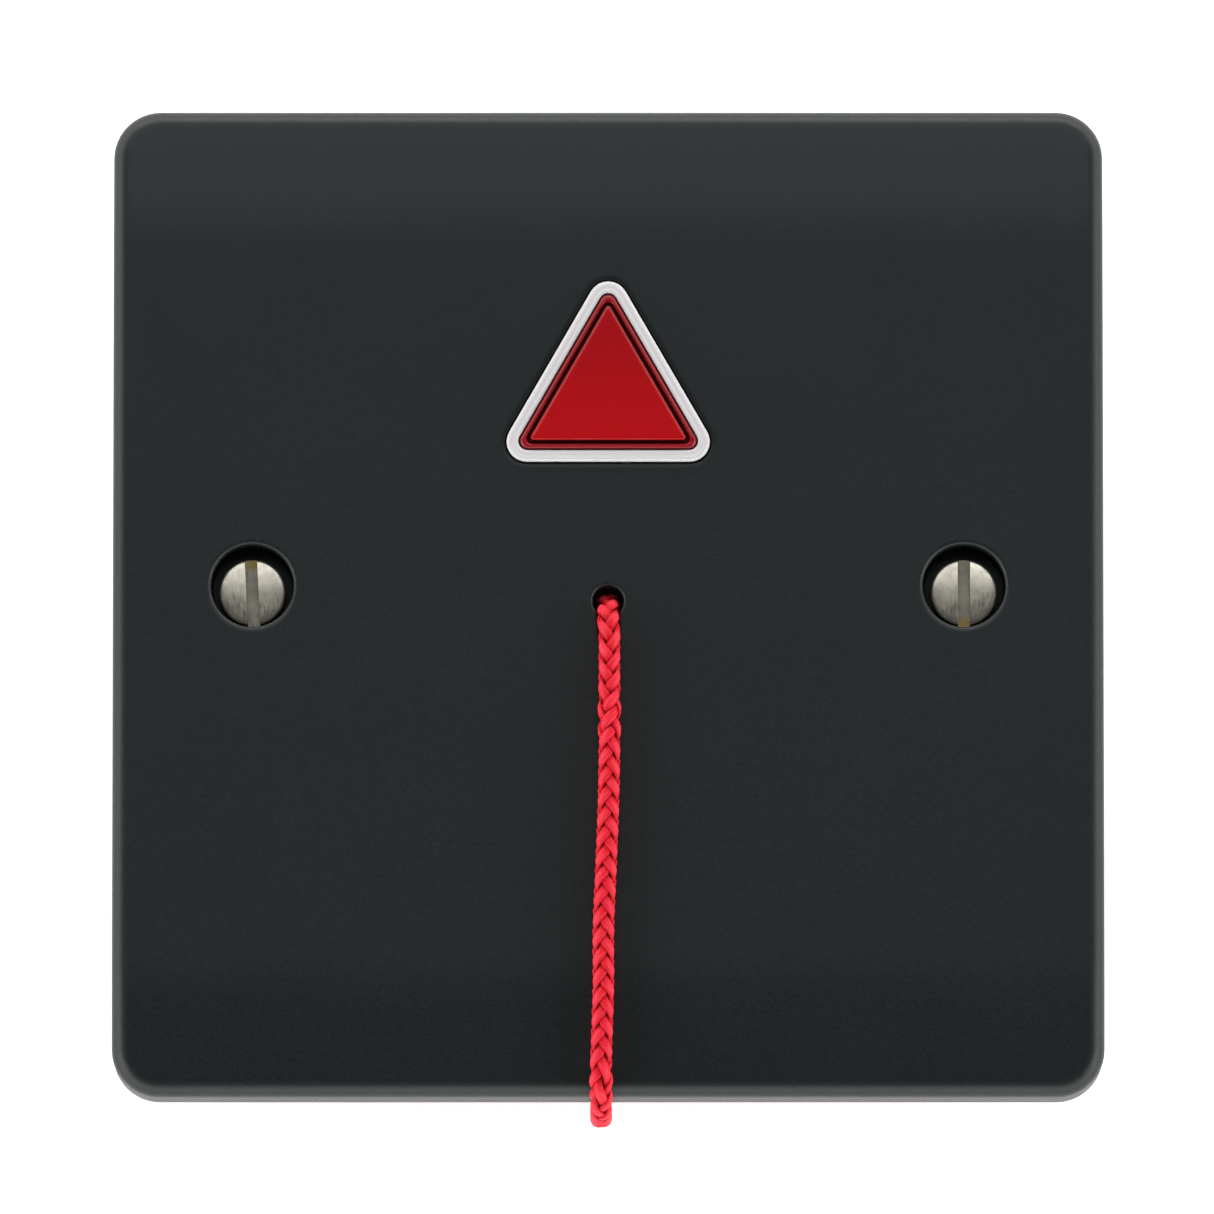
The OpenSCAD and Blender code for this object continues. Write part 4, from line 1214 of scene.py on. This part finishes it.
class SWITCH_OT_plate(bpy.types.Operator):
    """Makes the front plate"""
    bl_idname = "pull_switch.plate"
    bl_label = "Front Plate"

    def execute(self, context):
        settings = context.scene.switch_plate
        roll, fillet = settings.roll, settings.recess_fillet
        rings = [square_ring(HALF - 0.2 * MM, PLATE_CORNER - 0.2 * MM, lambda x, y: RIM_Z),
                 square_ring(HALF, PLATE_CORNER, lambda x, y: RIM_Z + 0.2 * MM)]
        for i in range(9):
            a = math.pi / 2 * i / 8
            inset, drop = roll * (1 - math.cos(a)), roll * (1 - math.sin(a))
            rings.append(square_ring(HALF - inset, PLATE_CORNER - inset,
                                     lambda x, y, drop=drop: self.face(y) - drop))
        inner = HALF - PLATE_WALL
        inner_corner = PLATE_CORNER - PLATE_WALL + 0.2 * MM
        lining = [square_ring(inner + 0.2 * MM, inner_corner, lambda x, y: RIM_Z),
                  square_ring(inner, inner_corner, lambda x, y: RIM_Z + 0.2 * MM),
                  square_ring(inner, inner_corner, lambda x, y: UNDER_Z - 0.6 * MM),
                  square_ring(inner - 0.2 * MM, inner_corner, lambda x, y: UNDER_Z - 0.18 * MM),
                  square_ring(inner - 0.6 * MM, inner_corner, lambda x, y: UNDER_Z)]
        shafts = self.fixings(fillet) + [self.cord_mouth(), self.lamp_opening()] + self.pillars()
        open_shafts = [s for s in shafts if abs(s[0][0][2] - FACE_Z) < 1e-6]
        face = sheet_with_holes(rings[-1], [s[0] for s in open_shafts], lambda x, y: self.face(y),
                                1.5 * MM, 0.55 * MM)
        ceiling = sheet_with_holes(lining[-1], [s[-1] for s in shafts], lambda x, y: UNDER_Z,
                                   3 * MM, 1 * MM)
        parts = [loft(rings[::-1]), loft(lining), loft([rings[0], lining[0]]), face, ceiling]
        parts += [loft(s) if s in open_shafts else loft(s, start="cap") for s in shafts]
        parts += self.ribs()
        piece = built("front_plate_moulding", joined(*parts), MATERIALS["plate_moulding"], 32)
        placed(piece, "base", "plate_moulding", "front_plate")
        return {"FINISHED"}

    def face(self, y):
        """Height of the face: flat in the middle, turned back towards the top and bottom edges."""
        settings = bpy.context.scene.switch_plate
        past = abs(y) - settings.camber_start
        if past <= 0:
            return FACE_Z
        # it tilts by 4.2 degrees within the bend, and by 3.2 more, evenly, on its way to the edge
        slope, growth = math.tan(math.radians(4.2)), math.radians(3.2) / (HALF - settings.camber_start)
        bend = settings.camber_bend
        bent = min(past / bend, 1.0)
        drop = slope * (bend * bent * bent / 2 + max(past - bend, 0))
        return FACE_Z - drop - growth * past * past / 2

    def fixings(self, fillet):
        """The recesses of the fixing screws, from the face down to the boss and up to the ceiling"""
        recess, shank, boss = 3.5 * MM, 1.9 * MM, 5.2 * MM
        mouth = [(recess + fillet + 0.12 * MM, FACE_Z)]
        mouth += arc(recess + fillet, FACE_Z - fillet, fillet, 90, 180)
        mouth += [(recess, SEAT_Z + 0.15 * MM), (recess - 0.15 * MM, SEAT_Z)]
        boss_part = [(shank + 0.1 * MM, SEAT_Z), (shank, SEAT_Z - 0.1 * MM), (shank, BOSS_Z + 0.1 * MM),
                     (shank + 0.1 * MM, BOSS_Z), (boss - 0.3 * MM, BOSS_Z), (boss, BOSS_Z + 0.3 * MM),
                     (boss, UNDER_Z - 0.3 * MM), (boss + 0.3 * MM, UNDER_Z)]
        return [[circle(r, z, 64, x, FIXING_Y + RECESS_RISE) for r, z in mouth]
                + [circle(r, z, 64, x, FIXING_Y) for r, z in boss_part] for x in (-FIXING_X, FIXING_X)]

    def cord_mouth(self):
        """The cord's hole: a trumpet mouth, drawn out towards the bottom where the cord leaves it"""
        hole, count, depth_most = 1.3 * MM, 64, 3 * MM
        rings = []
        # the first ring lies flat just outside the mouth
        for tau in (None, 90, 75, 60, 45, 30, 15, 0):
            ring = []
            for k in range(count):
                a = TAU * k / count
                off = (math.degrees(a) - 270 + 180) % 360 - 180
                lip = (0.3 + 2.6 * math.exp(-(off / 25) ** 2)) * MM
                deep = min(lip * 1.03, depth_most)
                t = math.radians(90 if tau is None else tau)
                r = hole + lip * (1 - math.cos(t)) + (0.1 * MM if tau is None else 0)
                z = FACE_Z - deep * (1 - math.sin(t))
                ring.append((r * math.cos(a), r * math.sin(a), z))
            rings.append(ring)
        socket = GUIDE_HIGH.x + 0.05 * MM
        profile = [(socket, UNDER_Z - 0.02 * MM), (socket, UNDER_Z - 2 * MM),
                   (socket + 1.35 * MM, UNDER_Z - 2 * MM), (socket + 1.35 * MM, UNDER_Z - 0.3 * MM),
                   (socket + 1.65 * MM, UNDER_Z)]
        return rings + [circle(r, z, count) for r, z in profile]

    def lamp_opening(self):
        """The triangular opening for the bezel, with a slightly softened edge"""
        side, corner = LAMP_SIDE * MM, 1.8 * MM
        return [triangle_ring(side, corner + grow * MM, z) for grow, z in (
            (0.5, FACE_Z), (0.2, FACE_Z), (0.15, FACE_Z - 0.02 * MM), (0.08, FACE_Z - 0.06 * MM),
            (0.05, FACE_Z - 0.14 * MM), (0, UNDER_Z + 0.1 * MM), (0.1, UNDER_Z))]

    def pillars(self):
        """The pillars that the cover screws and the board screws go into"""
        made = []
        for sites, radius, hole, z in ((EAR_SITES, 2.6, 1.5, RIM_Z - 1 * MM),
                                       (BOARD_SCREW_SITES, 2.4, 1.15, BOARD_HIGH.z)):
            for x, y in sites:
                rings = [circle(r, h, 40, x, y) for r, h in (
                    (hole * MM, UNDER_Z - 0.8 * MM), (hole * MM, z + 0.2 * MM), ((hole + 0.2) * MM, z),
                    ((radius - 0.25) * MM, z), (radius * MM, z + 0.25 * MM),
                    (radius * MM, UNDER_Z - 0.3 * MM), ((radius + 0.3) * MM, UNDER_Z))]
                made.append(rings)
        return made

    def ribs(self):
        """The stiffening ribs under the face"""
        reach, low, high = HALF - PLATE_WALL - 0.3 * MM, UNDER_Z - 2.4 * MM, UNDER_Z + 0.1 * MM
        thick, edge, shift = 1.2, 0.15 * MM, 0.02 * MM
        made = [softened_box((-reach, y * MM, low), (reach, (y + thick) * MM, high), edge)
                for y in (-33, -20)]
        # the upright ribs stand a hair lower, so that no two faces lie in one plane
        made += [softened_box((x * MM, -reach, low - shift), ((x + thick) * MM, -10 * MM, high - shift),
                              edge) for x in (-33, 31.8)]
        return made


# ---- screws ----


def screw_part(head_r, head_h, shank_r, long, pitch, count=32, dome=0.0, neck=0.0):
    """A screw that points down from under its head, with a rolled thread and no slot yet."""
    edge = min(0.3 * MM, head_h * 0.25)
    head = [(head_r - 0.15 * MM, 0), (head_r, 0.15 * MM), (head_r, head_h - dome - edge)]
    head += [(head_r - edge + r, head_h - dome - edge + z) for r, z in arc(0, 0, edge, 20, 80, 4)]
    head += [((head_r - edge) * s, head_h - dome * s * s) for s in (0.85, 0.6, 0.3)]
    rings = [circle(r, z, count) for r, z in reversed(head)]
    depth = pitch * 0.3
    turns = int((long - neck - pitch) / pitch)
    rows = 6
    thread = []
    for i in range(turns * rows + 1):
        z = -neck - pitch * 0.6 - i * pitch / rows
        taper = min(1.0, (turns * rows - i) / (2 * rows) + 0.25)
        ring = []
        for k in range(count):
            a = TAU * k / count
            wave = abs(((i / rows + k / count) % 1) * 2 - 1)
            r = (shank_r - depth * wave) * (0.75 + 0.25 * taper)
            ring.append((r * math.cos(a), r * math.sin(a), z))
        thread.append(ring)
    if neck:
        neck_r = shank_r - 0.15 * MM
        rings += [circle(neck_r, 0, count), circle(neck_r, -neck, count)]
    else:
        rings.append(circle(shank_r + 0.05 * MM, 0, count))
    rings += [circle(shank_r - depth, -neck - pitch * 0.3, count)] + thread
    rings += [circle(shank_r * 0.4, -long, count)]
    return loft(rings, "cap", "cap")


def slotted(name, part, width, depth, head_r, head_h):
    """A screw's part with its slot cut along Y."""
    piece = built(name, part, MATERIALS["steel"])
    carved(piece, box_part((-width / 2, -head_r * 2, head_h - depth), (width / 2, head_r * 2, head_h * 2)))
    mesh = piece.data
    points = [tuple(v.co) for v in mesh.vertices]
    faces = [tuple(p.vertices) for p in mesh.polygons]
    bpy.data.objects.remove(piece)
    return points, faces


class SWITCH_OT_fixing_screws(bpy.types.Operator):
    """Makes the two fixing screws"""
    bl_idname = "pull_switch.fixing_screws"
    bl_label = "Fixing Screws"

    def execute(self, context):
        settings = context.scene.switch_fixing
        head_h = SCREWS_HIGH.z - SEAT_Z
        long = SEAT_Z - SCREWS_LOW.z
        part = screw_part(HEAD_R, head_h, 1.75 * MM, long, settings.pitch, count=40, dome=0.18 * MM,
                          neck=3.8 * MM)
        part = slotted("fixing_screw_blank", part, settings.slot, 1.15 * MM, HEAD_R, head_h)
        sites = [(-FIXING_X, FIXING_Y, SEAT_Z, 0, math.radians(3)), (FIXING_X, FIXING_Y, SEAT_Z, 0, 0)]
        repeated("slotted_fixing_screws", part, sites, "nickel_plate", "base", ["fixing_screws"])
        return {"FINISHED"}


class SWITCH_OT_small_screws(bpy.types.Operator):
    """Makes the cover, board and terminal screws"""
    bl_idname = "pull_switch.small_screws"
    bl_label = "Small Screws"

    def execute(self, context):
        # name, node, head radius and height, shank radius and length, pitch, slot, places
        kinds = (
            ("slotted_cover_screws", "cover_screws", 2.6, 2, 1.45, 7, 0.9, 0.7,
             [(x, y, RIM_Z - 3 * MM) for x, y in EAR_SITES]),
            ("slotted_board_screws", "board_screws", 2, 1.5, 1.1, 7, 0.8, 0.6,
             [(x, y, BOARD_LOW.z) for x, y in BOARD_SCREW_SITES]),
            ("slotted_terminal_screws", "terminal_screws", 1.8, 1.6, 1.2, 1.9, 0.5, 0.6,
             [(x, TERMINAL_SCREW_Y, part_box("terminal_clamps")[0].z - 0.2 * MM) for x in POLES]),
        )
        for name, node, head_r, head_h, shank_r, long, pitch, slot, places in kinds:
            part = screw_part(head_r * MM, head_h * MM, shank_r * MM, long * MM, pitch * MM, count=28,
                              dome=0.1 * MM)
            part = slotted(name + "_blank", part, slot * MM, slot * MM, head_r * MM, head_h * MM)
            sites = [(*p, math.pi, 0.4 * (i * 7 % 5) - 0.8) for i, p in enumerate(places)]
            repeated(name, part, sites, "steel", "base", [node])
        return {"FINISHED"}


# ---- the lamp ----


def triangle_loft(profile, start="cap", end="cap"):
    """A triangular ring or plug from rows of (side between corner centres, corner radius, height)."""
    return loft([triangle_ring(side * MM, corner * MM, z) for side, corner, z in profile], start, end)


class SWITCH_OT_lamp(bpy.types.Operator):
    """Makes the lamp's bezel and lens"""
    bl_idname = "pull_switch.lamp"
    bl_label = "Lamp"

    def execute(self, context):
        top, foot, side = BEZEL_HIGH.z, BEZEL_LOW.z, LAMP_SIDE
        flange = [(2.75, foot), (2.8, foot + 0.1 * MM), (2.8, UNDER_Z - 0.05 * MM), (2.7, UNDER_Z),
                  (1.7, UNDER_Z + 0.02 * MM), (1.7, top - 0.36 * MM)]
        flange += [(1.36 + 0.34 * math.cos(a), top - 0.36 * MM + 0.36 * MM * math.sin(a))
                   for a in np.radians((18, 36, 54, 72, 90))]
        rows = [(side, corner, z) for corner, z in flange]
        # the top is dished a little between its two rims
        rows += [(side - 0.05, 1.25, top - 0.04 * MM), (side - 0.08, 1.13, top - 0.05 * MM),
                 (side - 0.11, 1.02, top - 0.02 * MM), (side - 0.13, 0.94, top)]
        rows += [(side - 0.15, corner, z) for corner, z in (
            (0.85, top - 0.04 * MM), (0.78, top - 0.15 * MM), (0.75, top - 0.35 * MM), (0.75, foot))]
        part = triangle_loft(rows + rows[:1], None, None)
        bezel = built("lamp_bezel", part, MATERIALS["bezel_white"], 50)
        placed(bezel, "base", "bezel_white", "indicator_bezel")

        top, foot = LENS_HIGH.z, LENS_LOW.z
        band = top - 0.3 * MM
        rows = [(LENS_SIDE, corner, z) for corner, z in (
            (1.65, foot), (1.7, foot + 0.1 * MM), (1.7, foot + 0.9 * MM), (1.6, foot + 1 * MM),
            (LENS_CORNER, foot + 1.02 * MM), (LENS_CORNER, band - 0.2 * MM))]
        # distance in from the edge and height over the band: up the band, down its groove, up to the face
        steps = ((0.03, -0.2), (0.07, -0.13), (0.13, -0.06), (0.2, -0.01), (0.28, 0.02), (0.36, 0.01),
                 (0.43, -0.06), (0.49, -0.2), (0.55, -0.33), (0.61, -0.37), (0.69, -0.37), (0.73, -0.25),
                 (0.76, 0), (0.78, 0.2), (0.81, 0.27), (0.86, 0.295), (1.05, 0.3))
        rows += [self.inset(i, band + z * MM) for i, z in steps]
        lens = built("lamp_lens", triangle_loft(rows), MATERIALS["lens_red"], 50)
        placed(lens, "base", "lens_red", "indicator_lens")
        return {"FINISHED"}

    def inset(self, distance, z):
        """A row of the lens some millimetres in from its edge. Its corners tighten on the way."""
        tightened = 0.62 * distance
        side = LENS_SIDE - (distance - tightened) * 2 * math.sqrt(3)
        return side, LENS_CORNER - tightened, z


# ---- the electronics ----

# places on the board, in millimetres
LED_SITES = [(-4, 15.15, 90), (4, 15.15, 90), (0, 22.75, 0)]    # x, y and turn in degrees
LED_LEAD = 1.27                                                 # from an LED's axis to its lead
RESISTOR_X = (-9.9, -13.2, -16.5)
DIODE_X = (9.9, 12.9)
AXIAL_Y = 18.9
AXIAL_PITCH = 5.08
CAPACITOR = (16.6, 25.5)
CAPACITOR_LEAD = 1.25
SWITCH_PIN_Y = (9.6, 14.6, 19.6)
TERMINAL_PIN_Y = 29.2


class SWITCH_OT_components(bpy.types.Operator):
    """Makes the LEDs, the resistors, the diodes, the capacitor and the solder joints"""
    bl_idname = "pull_switch.components"
    bl_label = "Components"

    def execute(self, context):
        top, under = BOARD_HIGH.z, BOARD_LOW.z
        dome = [(1.9, 0), (1.9, 0.85), (1.75, 1), (1.52, 1.05), (1.5, 1.2), (1.5, 3.8)]
        dome += [(1.5 * math.cos(a), 3.8 + 1.5 * math.sin(a)) for a in np.radians((20, 40, 60, 78, 90))]
        part = revolve([(r * MM, z * MM) for r, z in dome], 40)
        sites = [(x * MM, y * MM, top, 0, math.radians(a)) for x, y, a in LED_SITES]
        repeated("domed_leds", part, sites, "led_epoxy", "base", ["leds"])

        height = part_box("resistors")[0].z + 1.15 * MM
        bone = [(0.3, -3.15), (0.75, -3.1), (1.05, -2.8), (1.15, -2.3), (1.12, -1.8), (0.95, -1.4),
                (0.92, 0), (0.95, 1.4), (1.12, 1.8), (1.15, 2.3), (1.05, 2.8), (0.75, 3.1), (0.3, 3.15)]
        part = revolve([(r * MM, z * MM) for r, z in bone], 28)
        sites = [(x * MM, AXIAL_Y * MM, height, math.pi / 2, 0) for x in RESISTOR_X]
        repeated("dipped_resistors", part, sites, "resistor_coat", "base", ["resistors"], 60)

        barrel = [(0.5, -2.6), (1.15, -2.6), (1.28, -2.45), (1.3, -2.3), (1.3, 2.3), (1.28, 2.45),
                  (1.15, 2.6), (0.5, 2.6)]
        part = revolve([(r * MM, z * MM) for r, z in barrel], 32)
        sites = [(x * MM, AXIAL_Y * MM, height, math.pi / 2, 0) for x in DIODE_X]
        repeated("moulded_diodes", part, sites, "black_epoxy", "base", ["diodes"])

        can = [(2.4, -11), (2.55, -10.9), (2.6, -10.75), (2.8, -10.8), (3.05, -10.7), (3.15, -10.4),
               (3.15, -1.9), (3.0, -1.6), (2.85, -1.4), (2.85, -1.2), (3.0, -1.0), (3.15, -0.8),
               (3.15, -0.15), (3.0, 0)]
        part = revolve([(r * MM, z * MM) for r, z in can], 48)
        repeated("sleeved_capacitor", part, [(CAPACITOR[0] * MM, CAPACITOR[1] * MM, under, 0, 0)],
                 "capacitor_sleeve", "base", ["capacitor"])

        cone = [(0.85, 0), (0.75, 0.12), (0.55, 0.35), (0.42, 0.6), (0.36, 0.9)]
        part = revolve([(r * MM, z * MM) for r, z in cone], 16)
        joints = [(x, AXIAL_Y + s * AXIAL_PITCH) for x in RESISTOR_X + DIODE_X for s in (-1, 1)]
        joints += [(CAPACITOR[0] + s * CAPACITOR_LEAD, CAPACITOR[1]) for s in (-1, 1)]
        joints += [(0, y) for y in SWITCH_PIN_Y]
        joints += [(x / MM, TERMINAL_PIN_Y) for x in POLES]
        sites = [(x * MM, y * MM, top, 0, 0) for x, y in joints]
        below = [(x + reach * math.cos(math.radians(a)), y + reach * math.sin(math.radians(a)))
                 for x, y, a in LED_SITES for reach in (-LED_LEAD, LED_LEAD)]
        sites += [(x * MM, y * MM, under, math.pi, 0) for x, y in below]
        repeated("solder_joints", part, sites, "tinned_copper", "base", [], 60)
        return {"FINISHED"}


class SWITCH_OT_spring(bpy.types.Operator):
    """Makes the return spring"""
    bl_idname = "pull_switch.spring"
    bl_label = "Return Spring"

    def execute(self, context):
        low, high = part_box("return_spring")
        wire = 0.29 * MM                    # radius of the wire
        spring = link("wound_return_spring", bpy.data.meshes.new("wound_return_spring"))
        grown(spring, spring_tree(), {
            "Turns": 6.0, "Radius": high.x - wire, "Height": high.z - low.z - 2 * wire, "Wire": wire,
            "Foot": (0.0, 0.0, low.z + wire), "Finish": MATERIALS["spring_steel"]})
        spring.data.shade_smooth()
        placed(spring, "base", "spring_steel", "return_spring")
        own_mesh(spring)
        return {"FINISHED"}


# ---- the pieces whose shape the frame already has ----


def rounded_nodes(rows, edge):
    """Stands rounded copies in for nodes, from rows of (node, name, share of the edge radius)."""
    for node, name, share in rows:
        body = frame["nodes"][node]["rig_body"]
        slot = SLOTS[node]
        piece = softened(node, name, edge * share, MATERIALS[slot])
        placed(piece, body, slot, node)


class SWITCH_OT_casing(bpy.types.Operator):
    """Makes the rear cover, the light box, the cord's bush and slider, and the screw retainers"""
    bl_idname = "pull_switch.casing"
    bl_label = "Casing"

    def execute(self, context):
        rounded_nodes((
            ("rear_cover", "rear_cover_moulding", 1.6),
            ("light_box", "light_box_moulding", 0.6),
            ("cord_guide", "cord_guide_bush", 0.8),
            ("pull_slider", "pull_slider_moulding", 0.8),
            ("screw_retainers", "screw_retainer_washers", 0.5),
        ), context.scene.switch_casing.edge)
        return {"FINISHED"}


class SWITCH_OT_board(bpy.types.Operator):
    """Makes the circuit board, the terminal block and its clamps"""
    bl_idname = "pull_switch.board"
    bl_label = "Board and Terminals"

    def execute(self, context):
        rounded_nodes((
            ("circuit_board", "circuit_board_laminate", 0.3),
            ("terminal_block", "terminal_block_moulding", 0.8),
            ("terminal_clamps", "terminal_clamp_cages", 0.4),
        ), context.scene.switch_casing.edge)
        return {"FINISHED"}


class SWITCH_OT_snap_switch(bpy.types.Operator):
    """Makes the snap switch's case, its side cover and its lever"""
    bl_idname = "pull_switch.snap_switch"
    bl_label = "Snap Switch"

    def execute(self, context):
        rounded_nodes((
            ("switch_case", "switch_case_moulding", 0.6),
            ("switch_side_cover", "switch_side_moulding", 0.4),
            ("switch_lever", "switch_lever_strip", 0.3),
        ), context.scene.switch_casing.edge)
        return {"FINISHED"}


class SWITCH_OT_pins(bpy.types.Operator):
    """Finishes the leads, the pins and the plunger, whose shapes are the frame's own"""
    bl_idname = "pull_switch.pins"
    bl_label = "Pins and Leads"

    def execute(self, context):
        for node, slot in SLOTS.items():
            shown = frame["nodes"][node]
            if not shown.hide_render:
                shown.data.materials.clear()
                shown.data.materials.append(MATERIALS[slot])
        return {"FINISHED"}


class SWITCH_PT_panel(bpy.types.Panel):
    """Lists the steps that build the switch"""
    bl_idname = "SWITCH_PT_panel"
    bl_label = "Pull Cord Switch"
    bl_space_type = "VIEW_3D"
    bl_region_type = "UI"
    bl_category = "Pull Switch"

    def draw(self, context):
        for group in SETTINGS:
            for key in getattr(context.scene, group).bl_rna.properties.keys():
                if key not in ("rna_type", "name"):
                    self.layout.prop(getattr(context.scene, group), key)
        for step in STEPS:
            self.layout.operator(step.bl_idname)


# in this order: the camera and the cord come first, and the pins take what is left of the frame
STEPS = (SWITCH_OT_stage, SWITCH_OT_cord, SWITCH_OT_plate, SWITCH_OT_fixing_screws, SWITCH_OT_lamp,
         SWITCH_OT_small_screws, SWITCH_OT_components, SWITCH_OT_spring, SWITCH_OT_casing,
         SWITCH_OT_board, SWITCH_OT_snap_switch, SWITCH_OT_pins)


def register():
    """Adds the settings, the operators and the panel."""
    for group in SETTINGS.values():
        bpy.utils.register_class(group)
    for name, group in SETTINGS.items():
        setattr(bpy.types.Scene, name, PointerProperty(type=group))
    for step in STEPS:
        bpy.utils.register_class(step)
    bpy.utils.register_class(SWITCH_PT_panel)


def unregister():
    """Takes them away again, last first."""
    bpy.utils.unregister_class(SWITCH_PT_panel)
    for step in reversed(STEPS):
        bpy.utils.unregister_class(step)
    for name in SETTINGS:
        delattr(bpy.types.Scene, name)
    for group in reversed(list(SETTINGS.values())):
        bpy.utils.unregister_class(group)


def clear_start():
    """Removes what a new file holds besides the frame."""
    for name in ("Cube", "Light", "Camera"):
        if name in bpy.data.objects:
            bpy.data.objects.remove(bpy.data.objects[name])


def main():
    """Builds the whole switch."""
    register()
    clear_start()
    MATERIALS.update(finishes(bpy.context.scene))
    for step in STEPS:
        group, name = step.bl_idname.split(".")
        getattr(getattr(bpy.ops, group), name)()


if __name__ == "__main__":
    main()
